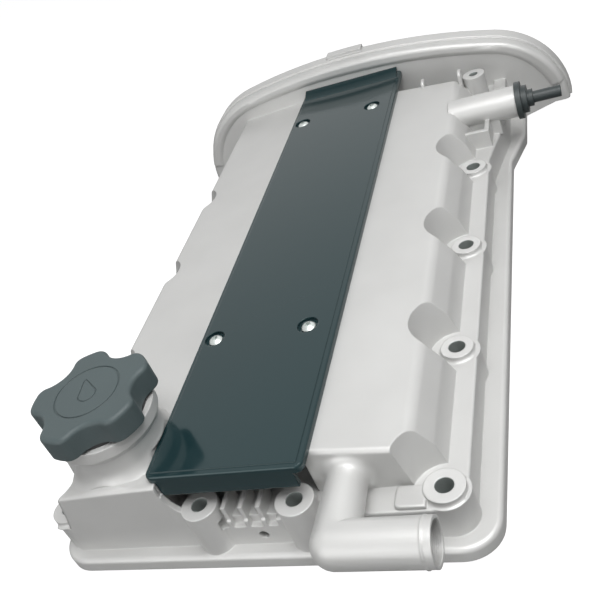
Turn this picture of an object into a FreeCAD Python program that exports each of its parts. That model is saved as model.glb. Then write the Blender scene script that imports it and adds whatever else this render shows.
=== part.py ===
import FreeCAD, Part
import math
import os
import re
import Sketcher
from FreeCAD import Rotation, Vector

# Engine valve cover. X runs across the engine, Y along it towards the timing end,
# Z up from the gasket face. The origin is on that face, on the second spark plug well's axis.

doc = FreeCAD.newDocument("valve_cover")
sizes = doc.addObject("Spreadsheet::Sheet", "Sizes")

driving = [
    ("bolt_left", 101, "left bolt row, from the plug line"),
    ("bolt_right", 92.9, "right bolt row, from the plug line"),
    ("bolt_pitch", 86, "bolt to bolt along the cover, one cylinder"),
    ("bolt_hole", 4.2, "radius of a side bolt's hole"),
    ("left_column", 8.5, "radius of the cast column round a left bolt"),
    ("right_column", 11, "radius of the cast column round a right bolt"),
    ("bolt_ring", 8.2, "radius of the machined ring under a bolt head"),
    ("bolt_face", 28, "height of the machined rings"),
    ("corner_ring", 9.3, "radius of the ring at the two front corners"),
    ("left_ledge", 6, "left outer wall, beyond the bolt row"),
    ("right_ledge", 9.6, "right outer wall, beyond the bolt row"),
    ("left_lip", 5.7, "flange beyond the left outer wall"),
    ("right_lip", 10.2, "flange beyond the right outer wall"),
    ("flange_front", 147.2, "front edge of the flange"),
    ("flange_thick", 7.5, "flange thickness"),
    ("flange_corner", 17.5, "radius of the front corners"),
    ("flange_round", 2.5, "rounding of the flange's top edge"),
    ("swell", 8.7, "how far the right side widens for the timing end"),
    ("swell_begin", 162.5, "where the widening begins"),
    ("swell_end", 194.5, "where the widening is complete"),
    ("foot_step", 4.2, "how far the flange stays inside the arch's foot"),
    ("foot_begin", 236, "where the flare begins"),
    ("foot_end", 252.6, "where the flare ends"),
    ("cast_wall", 4, "wall of the casting"),
    ("roof_wall", 3.5, "wall of the banks' roofs"),
    ("wall_front", 139.8, "outer face of the lower front wall"),
    ("wall_corner", 10, "radius of the lower wall's corners"),
    ("ledge_top", 25, "height of the ledge and of the valley floor"),
    ("bank_top", 51, "height of a bank beside the valley"),
    ("left_edge", 7, "outer edge of the left bank's roof, inside the bolt row"),
    ("right_edge", 11.2, "outer edge of the right bank's roof, inside the bolt row"),
    ("bank_edge_top", 47.7, "height of those edges"),
    ("left_side", 1.8, "corner of the left bank's side, inside the bolt row"),
    ("right_side", 3.6, "corner of the right bank's side, inside the bolt row"),
    ("bank_side_top", 36, "height of those corners"),
    ("left_round", 5, "rounding of the left bank's long edges"),
    ("right_round", 8, "rounding of the right bank's long edges"),
    ("bank_lip", 2.5, "rounding of the bank's end edges"),
    ("left_front", 137.4, "front end of the left bank"),
    ("right_front", 125.6, "front end of the right bank"),
    ("right_rear", 222.5, "rear end of the right bank"),
    ("valley_half", 35, "half width of the valley"),
    ("left_scallop_foot", 11.5, "radius of a left tool scallop on the ledge"),
    ("left_scallop_rim", 15, "radius of a left tool scallop at the bank's top"),
    ("right_scallop_foot", 14.3, "radius of a right tool scallop on the ledge"),
    ("right_scallop_rim", 19.5, "radius of a right tool scallop at the bank's top"),
    ("well_bore", 15, "radius of a spark plug well"),
    ("well_wall", 4.5, "wall of a spark plug well"),
    ("well_seal_bore", 17.2, "radius of the seal's seat in a well's foot"),
    ("well_seal_tall", 6, "height of that seat"),
    ("well_seal_hole", 12.6, "radius of the hole through a well's seal"),
    ("fin_thick", 2.2, "thickness of the cooling fins in the valley's mouth"),
    ("fin_pitch", 8.8, "fin to fin"),
    ("fin_middle", 1.5, "middle fin, right of the plug line"),
    ("fin_tall", 8, "height of the fins"),
    ("fin_long", 14, "length of the fins"),
    ("front_left_bolt", 19.8, "left bolt boss in the valley's mouth"),
    ("front_right_bolt", 28.1, "right bolt boss in the valley's mouth"),
    ("front_bolt_place", 136.2, "those bosses, in front of the centre"),
    ("front_bolt_ring", 9.3, "radius of those bosses"),
    ("front_bolt_face", 33.4, "height of those bosses"),
    ("front_bolt_hole", 4, "radius of those bolts' holes"),
    ("drain_side", 6.8, "drain hole in the front wall"),
    ("drain_height", 14.2, "height of that hole"),
    ("drain_bore", 2.4, "radius of that hole"),
    ("arch_front", 248.1, "front face of the timing-end arch"),
    ("arch_step", 255.5, "front of the arch's outer rim"),
    ("arch_rear", 266.6, "rear face of the arch"),
    ("arch_centre", 5.3, "centre line of the arch"),
    ("arch_half", 148.6, "half width of the arch at its foot"),
    ("arch_height", 74.2, "height of the arch"),
    ("arch_left_shoulder", 68, "radius of the arch's left shoulder"),
    ("arch_right_shoulder", 61, "radius of the arch's right shoulder"),
    ("arch_inset", 1.5, "how far the arch's front part lies inside the rim"),
    ("arch_round", 3.5, "rounding of the arch's front edge"),
    ("arch_wall", 5, "wall of the arch"),
    ("arch_plate", 4.4, "thickness of the arch's front plate"),
    ("arch_shelf", 2, "how far the wide part of the arch's hollow stays behind the step"),
    ("tab_aside", 7, "raised pad on the arch, left of the arch's centre"),
    ("tab_long", 28, "length of that pad"),
    ("tab_rise", 2.6, "how far the pad stands up"),
    ("tab_back", 3, "how far the pad stays behind the arch's step"),
    ("neck_side", 62.1, "oil filler neck, left of the centre line"),
    ("neck_front", 111.4, "oil filler neck, in front of the centre"),
    ("neck_bore", 20, "radius of the filler's bore"),
    ("neck_rim", 27, "radius of the filler's rim"),
    ("neck_waist", 24, "radius of the filler's neck"),
    ("neck_flare", 12, "sweep from the neck down to the bank"),
    ("neck_foot", 47, "height where that sweep begins"),
    ("neck_top", 74.5, "height of the filler's face"),
    ("neck_rim_thick", 6, "thickness of the filler's rim"),
    ("neck_rim_taper", 3.6, "height of the taper under that rim"),
    ("pipe_side", 52.3, "breather pipe's short leg"),
    ("pipe_front", 162, "breather pipe's long leg"),
    ("pipe_height", 34.8, "height of the breather pipe"),
    ("pipe_outer", 10.4, "outer radius of the breather pipe"),
    ("pipe_root", 8.9, "outer radius where it leaves the bank"),
    ("pipe_flare", 5, "sweep from the pipe to the bank"),
    ("pipe_bore", 7.8, "bore of the breather pipe"),
    ("pipe_root_bore", 6.9, "bore of the pipe's short leg"),
    ("pipe_mouth_bore", 9, "bore at the mouth's counterbore"),
    ("pipe_mouth_deep", 4, "depth of the mouth's counterbore"),
    ("pipe_end", 94.4, "end face of the breather pipe"),
    ("valve_place", 179.6, "breather valve's axis along the cover"),
    ("valve_height", 41, "breather valve's axis above the gasket face"),
    ("valve_boss", 10.4, "radius of the valve's boss"),
    ("valve_boss_reach", 29.6, "end face of that boss, beyond the bolt row"),
    ("valve_boss_root", 3, "how far that boss reaches into the bank"),
    ("valve_web", 16.6, "width of the web under that boss"),
    ("valve_bore", 7, "radius of the bore that holds the valve"),
    ("valve_bore_deep", 27.5, "depth of that bore"),
    ("valve_passage", 4, "radius of the passage into the bank"),
    ("valve_passage_reach", 8, "how far that passage reaches into the bank"),
    ("shelf_place", 157, "small shelf in front of the valve's boss"),
    ("shelf_top", 37.3, "height of that shelf"),
    ("shelf_thick", 3, "thickness of that shelf"),
    ("rear_bolt_place", 225.8, "tall rear bolt column"),
    ("rear_bolt_column", 7.7, "radius of that column"),
    ("rear_bolt_face", 47, "height of that column"),
    ("rear_bolt_hole", 3, "radius of its hole"),
    ("rear_lug_place", 10, "inner edge of the lug behind it, beyond the bolt row"),
    ("hook_place", 57.7, "inner cable hook behind the right bank"),
    ("hook_thick", 2.4, "thickness of the cable hooks"),
    ("hook_long", 9, "length of the cable hooks"),
    ("hook_top", 51.5, "height of the cable hooks"),
    ("groove_outer", 2, "gasket groove, in from the flange's edge"),
    ("groove_wide", 3, "width of the gasket groove"),
    ("groove_deep", 4, "depth of the gasket groove"),
    ("gasket_proud", 1, "how far the gasket stands out of its groove"),
    ("seal_play", 0.08, "side clearance of a rubber seal in its seat"),
    ("plate_rise", 4.4, "how far the black plate stands above the banks"),
    ("plate_half", 39.4, "half width of the plate"),
    ("plate_front", 136.9, "front edge of the plate"),
    ("plate_rear", 236.5, "bend at the plate's rear end"),
    ("plate_end", 247.6, "rear edge of the plate, close to the arch"),
    ("plate_corner", 4, "radius of the plate's front corners"),
    ("plate_thick", 2.5, "thickness of the plate"),
    ("plate_lip", 13, "height of the plate's front lip"),
    ("plate_round", 2, "rounding of the plate's edges"),
    ("plate_upturn", 3.5, "how far the plate's rear end turns up"),
    ("plate_play", 0.5, "gap between the plate and the valley's walls and neck"),
    ("plate_boss", 8.4, "radius of the plate's screw bosses"),
    ("screw_left", 30.4, "left plate screws, from the centre line"),
    ("screw_right", 23.4, "right plate screws, from the centre line"),
    ("screw_front", 42.8, "front pair of plate screws"),
    ("screw_rear", 198.3, "rear pair of plate screws"),
    ("screw_head", 4, "radius of a screw head"),
    ("screw_rim", 0.8, "height of the head's straight edge"),
    ("screw_dome", 2.6, "height of a screw head"),
    ("screw_socket", 1.7, "corner radius of the socket in a screw head"),
    ("socket_deep", 1.6, "depth of that socket"),
    ("screw_shank", 2.4, "radius of a screw hole in a post"),
    ("screw_long", 14, "length of a screw shank"),
    ("screw_recess", 5.8, "radius of the recess round a screw head"),
    ("recess_deep", 2, "depth of that recess"),
    ("post_radius", 6.3, "radius of the posts that the plate is screwed to"),
    ("fit_play", 0.05, "radial clearance of a close fit"),
    ("hole_play", 0.3, "radial clearance of a screw in a loose hole"),
    ("cap_radius", 31.3, "oil cap, over its lobes"),
    ("cap_lobes", 5, "lobes of the oil cap"),
    ("cap_turn", 4, "angle of the first scoop between the lobes"),
    ("cap_scoop", 13, "radius of the scoops between the lobes"),
    ("cap_scoop_deep", 7.3, "depth of the scoops"),
    ("cap_lobe_round", 6, "rounding of the lobes"),
    ("cap_tall", 13, "height of the cap's grip"),
    ("cap_round", 2.5, "rounding of the cap's top edge"),
    ("cap_ring", 16.8, "radius of the ring line on the cap"),
    ("cap_ring_wide", 0.9, "width of the ring line"),
    ("cap_ring_deep", 0.5, "depth of the ring line"),
    ("cap_stem", 18.4, "radius of the cap's stem under its thread"),
    ("cap_stem_long", 14, "length of the cap's stem below the grip"),
    ("cap_hollow", 15, "radius of the hollow in the stem"),
    ("cap_skin", 3.5, "thickness of the cap's top"),
    ("cap_cell", 3.8, "radius of the cores under the lobes"),
    ("cap_cell_reach", 25, "those cores, from the cap's axis"),
    ("cap_seal_thick", 2, "thickness of the cap's seal"),
    ("cap_seal_wide", 5.4, "width of the cap's seal"),
    ("baffle_thick", 1.2, "sheet of the oil baffles"),
    ("baffle_height", 29, "underside of the oil baffles"),
    ("baffle_inner", 42, "inner edge of a baffle"),
    ("baffle_outer", 72, "outer edge of a baffle"),
    ("baffle_front", 78, "front edge of the left baffle"),
    ("baffle_right_front", 113, "front edge of the right baffle"),
    ("baffle_rear", 206, "rear edge of the baffles"),
    ("baffle_corner", 6, "radius of the baffles' corners"),
    ("baffle_end_screw", 12, "first and last screw, in from the baffle's end"),
    ("baffle_post", 4.5, "radius of the baffle posts"),
    ("baffle_screw", 1.9, "radius of a baffle screw's hole"),
    ("baffle_screw_head", 3.6, "radius of a baffle screw's head"),
    ("baffle_screw_dome", 2.2, "height of a baffle screw's head"),
    ("baffle_screw_long", 9, "length of a baffle screw"),
    ("valve_flange", 12.2, "radius of the valve's flange"),
    ("valve_flange_thick", 3.5, "thickness of the valve's flange"),
    ("valve_step", 9, "radius of the step beyond the flange"),
    ("valve_step_long", 3.5, "length of that step"),
    ("valve_neck", 5.6, "radius of the neck that grips the nozzle"),
    ("valve_neck_long", 3.5, "length of that neck"),
    ("valve_chamber", 4.6, "radius of the chamber inside the valve"),
    ("valve_floor", 2.5, "thickness of the chamber's inner end"),
    ("valve_inlet", 2.4, "radius of the inlet in that end"),
    ("valve_seal_place", 12, "seal groove, from the valve's inner end"),
    ("valve_seal_wide", 2.2, "width of that groove"),
    ("valve_seal_deep", 1.6, "depth of that groove"),
    ("nozzle_root", 20, "nozzle's inner end, from the valve's inner end"),
    ("nozzle_outer", 3.8, "outer radius of the nozzle"),
    ("nozzle_bore", 2.2, "bore of the nozzle"),
    ("nozzle_reach", 28, "end of the nozzle, beyond the boss"),
    ("plunger_play", 0.1, "radial clearance of the plunger"),
    ("plunger_head", 2.5, "thickness of the plunger's head"),
    ("plunger_stem", 2, "radius of the plunger's stem"),
    ("plunger_long", 10, "length of the plunger"),
    ("plunger_tip", 1, "radius of the plunger's tip"),
    ("plunger_cone", 3, "length of the plunger's tapered end"),
    ("spring_radius", 3.4, "mean radius of the valve's spring"),
    ("spring_wire", 0.4, "radius of the spring's wire"),
    ("spring_turns", 5, "turns of the spring"),
]

names = [alias for alias, value, note in driving]
for row, (alias, value, note) in enumerate(driving, 1):
    sizes.set("A%d" % row, alias)
    sizes.set("B%d" % row, str(value))
    sizes.setAlias("B%d" % row, alias)
    sizes.set("C%d" % row, note)
doc.recompute()


def tied(text):
    """Write a plain-word formula as an expression on the sheet."""
    def word(match):
        return "Sizes." + match.group() if match.group() in names else match.group()
    return re.sub(r"[a-z_]\w*", word, text)


def number(text):
    """The present value of a formula."""
    return float(sizes.evalExpression(tied(text)))


def tie(thing, prop, text):
    thing.setExpression(prop, tied(text))


def place(thing, x, y, z):
    tie(thing, "Placement.Base.x", x)
    tie(thing, "Placement.Base.y", y)
    tie(thing, "Placement.Base.z", z)


turned = {
    "x": Rotation(Vector(0, 1, 0), 90),
    "y": Rotation(Vector(1, 0, 0), -90),
    "z": Rotation(),
    "-z": Rotation(Vector(1, 0, 0), 180),
}


def rod(name, radius, length, x, y, z, along="z"):
    thing = doc.addObject("Part::Cylinder", name)
    tie(thing, "Radius", radius)
    tie(thing, "Height", length)
    thing.Placement.Rotation = turned[along]
    place(thing, x, y, z)
    return thing


def taper(name, radius, far_radius, length, x, y, z, along="z"):
    thing = doc.addObject("Part::Cone", name)
    tie(thing, "Radius1", radius)
    tie(thing, "Radius2", far_radius)
    tie(thing, "Height", length)
    thing.Placement.Rotation = turned[along]
    place(thing, x, y, z)
    return thing


def block(name, x_from, x_to, y_from, y_to, z_from, z_to):
    thing = doc.addObject("Part::Box", name)
    tie(thing, "Length", "(%s) - (%s)" % (x_to, x_from))
    tie(thing, "Width", "(%s) - (%s)" % (y_to, y_from))
    tie(thing, "Height", "(%s) - (%s)" % (z_to, z_from))
    place(thing, x_from, y_from, z_from)
    return thing


def join(name, pieces):
    thing = doc.addObject("Part::MultiFuse", name)
    thing.Shapes = pieces
    thing.Refine = True
    return thing


def cut(name, base, tool):
    thing = doc.addObject("Part::Cut", name)
    thing.Base = base
    thing.Tool = tool
    thing.Refine = True
    return thing


def shared(name, pieces):
    thing = doc.addObject("Part::MultiCommon", name)
    thing.Shapes = pieces
    return thing


def new_body(name):
    return doc.addObject("PartDesign::Body", name)


def origin_plane(body, role):
    return next(item for item in body.Origin.OriginFeatures if item.Role == role)


def outline(body, name, role, level, corners):
    """A closed sketch. A corner is (x, y), or (x, y, radius, turn) where an arc leads to
    it, with turn 1 for an arc to the left and -1 for one to the right."""
    sketch = body.newObject("Sketcher::SketchObject", name)
    sketch.AttachmentSupport = [(origin_plane(body, role), "")]
    sketch.MapMode = "FlatFace"
    tie(sketch, "AttachmentOffset.Base.z", level)
    spots = [Vector(number(corner[0]), number(corner[1]), 0) for corner in corners]
    ends = []
    for index, corner in enumerate(corners):
        begin = spots[index - 1]
        finish = spots[index]
        if len(corner) == 2:
            sketch.addGeometry(Part.LineSegment(begin, finish), False)
            ends.append((1, 2))
            continue
        radius = number(corner[2])
        turn = corner[3]
        chord = finish - begin
        rise = math.sqrt(max(radius ** 2 - (chord.Length / 2) ** 2, 0))
        across = Vector(-chord.y, chord.x, 0).normalize()
        centre = (begin + finish) / 2 + across * rise * turn
        first, last = (begin, finish) if turn > 0 else (finish, begin)
        circle = Part.Circle(centre, Vector(0, 0, 1), radius)
        sweep = [math.atan2(spot.y - centre.y, spot.x - centre.x) for spot in (first, last)]
        sketch.addGeometry(Part.ArcOfCircle(circle, sweep[0], sweep[1]), False)
        ends.append((1, 2) if turn > 0 else (2, 1))
        limit = sketch.addConstraint(Sketcher.Constraint("Radius", index, radius))
        tie(sketch, "Constraints[%d]" % limit, corner[2])
    for index, corner in enumerate(corners):
        follower = (index + 1) % len(corners)
        sketch.addConstraint(Sketcher.Constraint(
            "Coincident", index, ends[index][1], follower, ends[follower][0]))
        for kind, text in (("DistanceX", corner[0]), ("DistanceY", corner[1])):
            limit = sketch.addConstraint(Sketcher.Constraint(
                kind, -1, 1, index, ends[index][1], number(text)))
            tie(sketch, "Constraints[%d]" % limit, text)
    return sketch


def pad(body, sketch, length):
    feature = body.newObject("PartDesign::Pad", sketch.Name + "Pad")
    feature.Profile = sketch
    tie(feature, "Length", length)
    doc.recompute()
    return feature


def round_edges(body, base, name, radius, wanted):
    """Round the edges of the base that the test picks."""
    picked = []
    for index, edge in enumerate(base.Shape.Edges, 1):
        if wanted(edge):
            picked.append("Edge%d" % index)
    feature = body.newObject("PartDesign::Fillet", name)
    feature.Base = (base, picked)
    tie(feature, "Radius", radius)
    doc.recompute()
    return feature


def spun(name, corners):
    """A body turned about its own Z axis from a half section of (radius, height)."""
    body = new_body(name)
    sketch = outline(body, name + "Section", "XZ_Plane", "0", corners)
    feature = body.newObject("PartDesign::Revolution", name + "Turn")
    feature.Profile = sketch
    feature.ReferenceAxis = (sketch, ["V_Axis"])
    feature.Angle = 360
    doc.recompute()
    return body


def upright(edge):
    ends = [vertex.Point for vertex in edge.Vertexes]
    return len(ends) == 2 and abs(ends[0].z - ends[1].z) > 1 and ends[0].distanceToPoint(
        Vector(ends[1].x, ends[1].y, ends[0].z)) < 1e-6


def near(value, text):
    return abs(value - number(text)) < 0.01


bolt_rows = ["%g * bolt_pitch" % step for step in (-1.5, -0.5, 0.5, 1.5)]
well_rows = ["%d * bolt_pitch" % step for step in (-1, 0, 1, 2)]
sides = (("left", "-1"), ("right", "1"))
bolt_lines = (("left", "-bolt_left"), ("right", "bolt_right"))
wall_left = "(bolt_left + left_ledge)"
wall_right = "(bolt_right + right_ledge)"
flange_left = "(bolt_left + left_ledge + left_lip)"
flange_right = "(bolt_right + right_ledge + right_lip)"
bank_edge = "(bolt_right - right_edge)"
boss_begin = "(bolt_right - right_edge - valve_boss_root)"
boss_end = "(bolt_right + valve_boss_reach)"
front_bolts = (("left", "-front_left_bolt"), ("right", "front_right_bolt"))
plate_screws = (("left_front", "-screw_left", "-screw_front"),
                ("right_front", "screw_right", "-screw_front"),
                ("left_rear", "-screw_left", "screw_rear"),
                ("right_rear", "screw_right", "screw_rear"))
baffle_fronts = {"left": "-baffle_front", "right": "-baffle_right_front"}
plate_top = "bank_top + plate_rise"
screw_seat = plate_top + " - recess_deep"
cap_base = "neck_top + cap_seal_thick"


# The flange and the lower wall

def loop_corners(inset):
    """The flange's outline round the camshaft space, moved in by the inset."""
    return [
        ("-%s + %s" % (flange_left, inset), "arch_front + arch_plate - %s" % inset),
        ("-%s + %s" % (flange_left, inset), "-flange_front + %s" % inset),
        ("%s - %s" % (flange_right, inset), "-flange_front + %s" % inset),
        ("%s - %s" % (flange_right, inset), "swell_begin + %s / 2" % inset),
        ("%s + swell - %s" % (flange_right, inset), "swell_end + %s / 2" % inset),
        ("%s + swell - %s" % (flange_right, inset),
         "arch_front + arch_plate - %s" % inset),
    ]


def loop_body(name, inset, low, thick):
    body = new_body(name)
    sketch = outline(body, name + "Outline", "XY_Plane", low, loop_corners(inset))
    padded = pad(body, sketch, thick)
    front = number("-flange_front + %s" % inset) + 0.01
    round_edges(body, padded, name + "Corners", "flange_corner - %s" % inset,
                lambda edge: upright(edge) and edge.CenterOfMass.y < front)
    return body


def make_flange():
    body = new_body("flange")
    sketch = outline(body, "flangeOutline", "XY_Plane", "0", [
        ("-" + flange_left, "foot_begin"),
        ("-" + flange_left, "-flange_front"),
        (flange_right, "-flange_front"),
        (flange_right, "swell_begin"),
        (flange_right + " + swell", "swell_end"),
        (flange_right + " + swell", "foot_begin"),
        ("arch_centre + arch_half - foot_step", "foot_end"),
        ("arch_centre + arch_half - foot_step", "arch_rear"),
        ("arch_centre - arch_half + foot_step", "arch_rear"),
        ("arch_centre - arch_half + foot_step", "foot_end"),
    ])
    padded = pad(body, sketch, "flange_thick")
    front = number("-flange_front") + 0.01
    corners = round_edges(body, padded, "flangeCorners", "flange_corner",
                          lambda edge: upright(edge) and edge.CenterOfMass.y < front)
    rear = number("foot_begin")
    round_edges(body, corners, "flangeTopRound", "flange_round",
                lambda edge: near(edge.CenterOfMass.z, "flange_thick")
                and edge.CenterOfMass.y < rear)
    return body


def make_lower_wall():
    body = new_body("lower_wall")
    sketch = outline(body, "lowerWallOutline", "XY_Plane", "0", [
        ("-" + wall_left, "arch_front + 1"),
        ("-" + wall_left, "-wall_front"),
        (wall_right, "-wall_front"),
        (wall_right, "1.5 * bolt_pitch + right_column"),
        (wall_right + " + swell", "swell_end - swell"),
        (wall_right + " + swell", "arch_front + 1"),
    ])
    padded = pad(body, sketch, "ledge_top")
    front = number("-wall_front") + 0.01
    corners = round_edges(body, padded, "lowerWallCorners", "wall_corner",
                          lambda edge: upright(edge) and edge.CenterOfMass.y < front)
    rear = number("arch_front")
    round_edges(body, corners, "lowerWallTopRound", "bank_lip / 2",
                lambda edge: near(edge.CenterOfMass.z, "ledge_top")
                and edge.CenterOfMass.y < rear)
    return body


# The two camshaft banks, as long bars with a sloping roof

def bank_corners(side, sign, inset, floor):
    def out(step):
        return "%s * (bolt_%s - %s - %s)" % (sign, side, step, inset)

    return [
        (out(side + "_edge"), "bank_edge_top - %s" % inset),
        (out(side + "_side"), "bank_side_top - %s / 2" % inset),
        (out("0"), "ledge_top - %s" % inset),
        (out("0"), floor),
        ("%s * (valley_half + %s)" % (sign, inset), floor),
        ("%s * (valley_half + %s)" % (sign, inset), "bank_top - %s" % inset),
        ("%s * (plate_half + %s / 2)" % (sign, inset), "bank_top - %s" % inset),
    ]


bank_rears = {"left": "arch_front + 1", "right": "right_rear"}
hollow_rears = {"left": "arch_front - 2 * cast_wall", "right": "right_rear - cast_wall"}


def make_bank(side, sign):
    body = new_body(side + "_bank")
    rear = bank_rears[side]
    sketch = outline(body, side + "BankSection", "XZ_Plane", "-(%s)" % rear,
                     bank_corners(side, sign, "0", "ledge_top - 1"))
    padded = pad(body, sketch, "%s + %s_front" % (rear, side))
    front = number("-%s_front" % side)

    def long_edge(edge):
        centre = edge.CenterOfMass
        at_roof = near(centre.z, "bank_edge_top") or near(centre.z, "bank_side_top")
        return at_roof and front + 1 < centre.y < number(rear) - 1

    rounded = round_edges(body, padded, side + "BankRound", side + "_round", long_edge)
    side_foot = number("ledge_top")

    def end_edge(edge):
        centre = edge.CenterOfMass
        at_end = abs(centre.y - front) < 0.01 or near(centre.y, "right_rear")
        on_roof = centre.z > side_foot + 1 and abs(centre.x) > number("valley_half + 3")
        return at_end and on_roof

    round_edges(body, rounded, side + "BankLip", "bank_lip", end_edge)
    return body


def make_bank_hollow(side, sign):
    body = new_body(side + "_bank_hollow")
    rear = hollow_rears[side]
    sketch = outline(body, side + "HollowSection", "XZ_Plane", "-(%s)" % rear,
                     bank_corners(side, sign, "roof_wall", "0"))
    pad(body, sketch, "%s + %s_front - cast_wall" % (rear, side))
    return body


# The timing-end arch: its outline is two shoulders and a flatter crown, all tangent

def arch_body(name, inset, y_from, y_to):
    body = new_body(name)
    sketch = body.newObject("Sketcher::SketchObject", name + "Outline")
    sketch.AttachmentSupport = [(origin_plane(body, "XZ_Plane"), "")]
    sketch.MapMode = "FlatFace"
    tie(sketch, "AttachmentOffset.Base.z", "-(%s)" % y_to)
    centre = number("arch_centre")
    half = number("arch_half - (%s)" % inset)
    height = number("arch_height - (%s)" % inset)
    shoulders = [number("arch_%s_shoulder - (%s)" % (side, inset)) for side, sign in sides]
    middle = min(sum(shoulders) / 2, height - 2)
    reach = half - middle
    crown = (reach ** 2 + height ** 2 - middle ** 2) / (2 * (height - middle))
    lean = math.atan2(height - crown, reach)
    up = Vector(0, 0, 1)
    left = Part.Circle(Vector(centre - half + shoulders[0], 0, 0), up, shoulders[0])
    right = Part.Circle(Vector(centre + half - shoulders[1], 0, 0), up, shoulders[1])
    top = Part.Circle(Vector(centre, height - crown, 0), up, crown)
    sketch.addGeometry(Part.ArcOfCircle(right, 0, -lean), False)
    sketch.addGeometry(Part.ArcOfCircle(top, -lean, math.pi + lean), False)
    sketch.addGeometry(Part.ArcOfCircle(left, math.pi + lean, math.pi), False)
    foot = [Vector(centre - half, 0, 0), Vector(centre + half, 0, 0)]
    sketch.addGeometry(Part.LineSegment(foot[0], foot[1]), False)
    sketch.addGeometry(Part.Point(Vector(centre, height, 0)), True)
    sketch.addConstraint(Sketcher.Constraint("Tangent", 0, 2, 1, 1))
    sketch.addConstraint(Sketcher.Constraint("Tangent", 1, 2, 2, 1))
    sketch.addConstraint(Sketcher.Constraint("Coincident", 2, 2, 3, 1))
    sketch.addConstraint(Sketcher.Constraint("Coincident", 3, 2, 0, 1))
    sketch.addConstraint(Sketcher.Constraint("PointOnObject", 4, 1, 1))
    sketch.addConstraint(Sketcher.Constraint("PointOnObject", 0, 3, -1))
    sketch.addConstraint(Sketcher.Constraint("PointOnObject", 2, 3, -1))
    bound = [
        ("Radius", (0,), "arch_right_shoulder - (%s)" % inset),
        ("Radius", (2,), "arch_left_shoulder - (%s)" % inset),
        ("DistanceX", (-1, 1, 3, 1), "arch_centre - arch_half + (%s)" % inset),
        ("DistanceY", (-1, 1, 3, 1), "0"),
        ("DistanceX", (-1, 1, 3, 2), "arch_centre + arch_half - (%s)" % inset),
        ("DistanceY", (-1, 1, 3, 2), "0"),
        ("DistanceX", (-1, 1, 4, 1), "arch_centre"),
        ("DistanceY", (-1, 1, 4, 1), "arch_height - (%s)" % inset),
    ]
    for kind, points, text in bound:
        limit = sketch.addConstraint(Sketcher.Constraint(kind, *points, number(text)))
        tie(sketch, "Constraints[%d]" % limit, text)
    pad(body, sketch, "(%s) - (%s)" % (y_to, y_from))
    return body


def round_arch_edge(body, name, radius, y_text):
    round_edges(body, body.Tip, name, radius,
                lambda edge: near(edge.CenterOfMass.y, y_text) and edge.CenterOfMass.z > 1)


def make_arch():
    front = arch_body("arch_front_part", "arch_inset", "arch_front", "arch_step")
    round_arch_edge(front, "archFrontRound", "arch_round", "arch_front")
    rim = arch_body("arch_rim", "0", "arch_step", "arch_rear")
    round_arch_edge(rim, "archRimRound", "arch_inset / 2", "arch_step")
    lower = arch_body("arch_tab_base", "-tab_rise", "arch_step + tab_back", "arch_rear")
    middle = block("arch_tab_block", "arch_centre - tab_aside - tab_long / 2",
                   "arch_centre - tab_aside + tab_long / 2", "arch_step + tab_back", "arch_rear",
                   "arch_height / 2", "arch_height + 2 * tab_rise")
    tab = shared("arch_tab", [lower, middle])
    return [front, rim, tab]


def make_arch_hollow():
    shallow = arch_body("arch_hollow_rim", "arch_wall", "arch_step + arch_shelf", "arch_rear + 1")
    deep = arch_body("arch_hollow_front", "arch_inset + arch_wall",
                     "arch_front + arch_plate", "arch_rear + 1")
    return [shallow, deep]


# Bolt columns, their rings and the tool scallops above them

def make_columns():
    pieces = []
    for side, x in bolt_lines:
        for row, y in enumerate(bolt_rows, 1):
            label = "%s_%d" % (side, row)
            ring = "corner_ring" if row == 1 else "bolt_ring"
            pieces.append(rod("column_" + label, side + "_column", "ledge_top", x, y, "0"))
            pieces.append(rod("ring_" + label, ring, "bolt_face", x, y, "0"))
    return pieces


def make_scallops(suffix, extra):
    pieces = []
    for side, x in bolt_lines:
        for row, y in enumerate(bolt_rows, 1):
            pieces.append(taper(
                "scallop_%s_%s_%d" % (suffix, side, row),
                "%s_scallop_foot + %s" % (side, extra), "%s_scallop_rim + %s" % (side, extra),
                "bank_top - ledge_top", x, y, "ledge_top"))
    return pieces


# The oil filler neck, with a concave sweep down to the bank

def make_neck():
    neck = spun("filler_neck", [
        ("0", "bank_side_top"),
        ("neck_waist + neck_flare", "bank_side_top"),
        ("neck_waist + neck_flare", "neck_foot"),
        ("neck_waist", "neck_foot + neck_flare", "neck_flare", -1),
        ("neck_waist", "neck_top - neck_rim_thick - neck_rim_taper"),
        ("neck_rim", "neck_top - neck_rim_thick"),
        ("neck_rim", "neck_top"),
        ("0", "neck_top"),
    ])
    place(neck, "-neck_side", "-neck_front", "0")
    reach = "neck_waist + neck_flare"
    over_bank = block("neck_limit", "-bolt_left", "-neck_side + " + reach,
                      "-left_front", "-neck_front + " + reach, "bank_side_top", "neck_top")
    return shared("neck_on_bank", [neck, over_bank])


# The L-shaped breather pipe

def make_pipe():
    leg_long = "pipe_front - right_front + roof_wall"
    long_leg = rod("pipe_long_leg", "pipe_outer", "pipe_end - pipe_side",
                   "pipe_side", "-pipe_front", "pipe_height", "x")
    short_leg = taper("pipe_short_leg", "pipe_outer", "pipe_root", leg_long,
                      "pipe_side", "-pipe_front", "pipe_height", "y")
    elbow = doc.addObject("Part::Sphere", "pipe_elbow")
    tie(elbow, "Radius", "pipe_outer")
    place(elbow, "pipe_side", "-pipe_front", "pipe_height")
    root = spun("pipe_root_sweep", [
        ("0", "0"),
        ("pipe_root + pipe_flare", "0"),
        ("pipe_root", "pipe_flare", "pipe_flare", -1),
        ("0", "pipe_flare"),
    ])
    root.Placement.Rotation = Rotation(Vector(1, 0, 0), 90)
    place(root, "pipe_side", "-right_front", "pipe_height")
    return [long_leg, short_leg, elbow, root]


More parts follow.
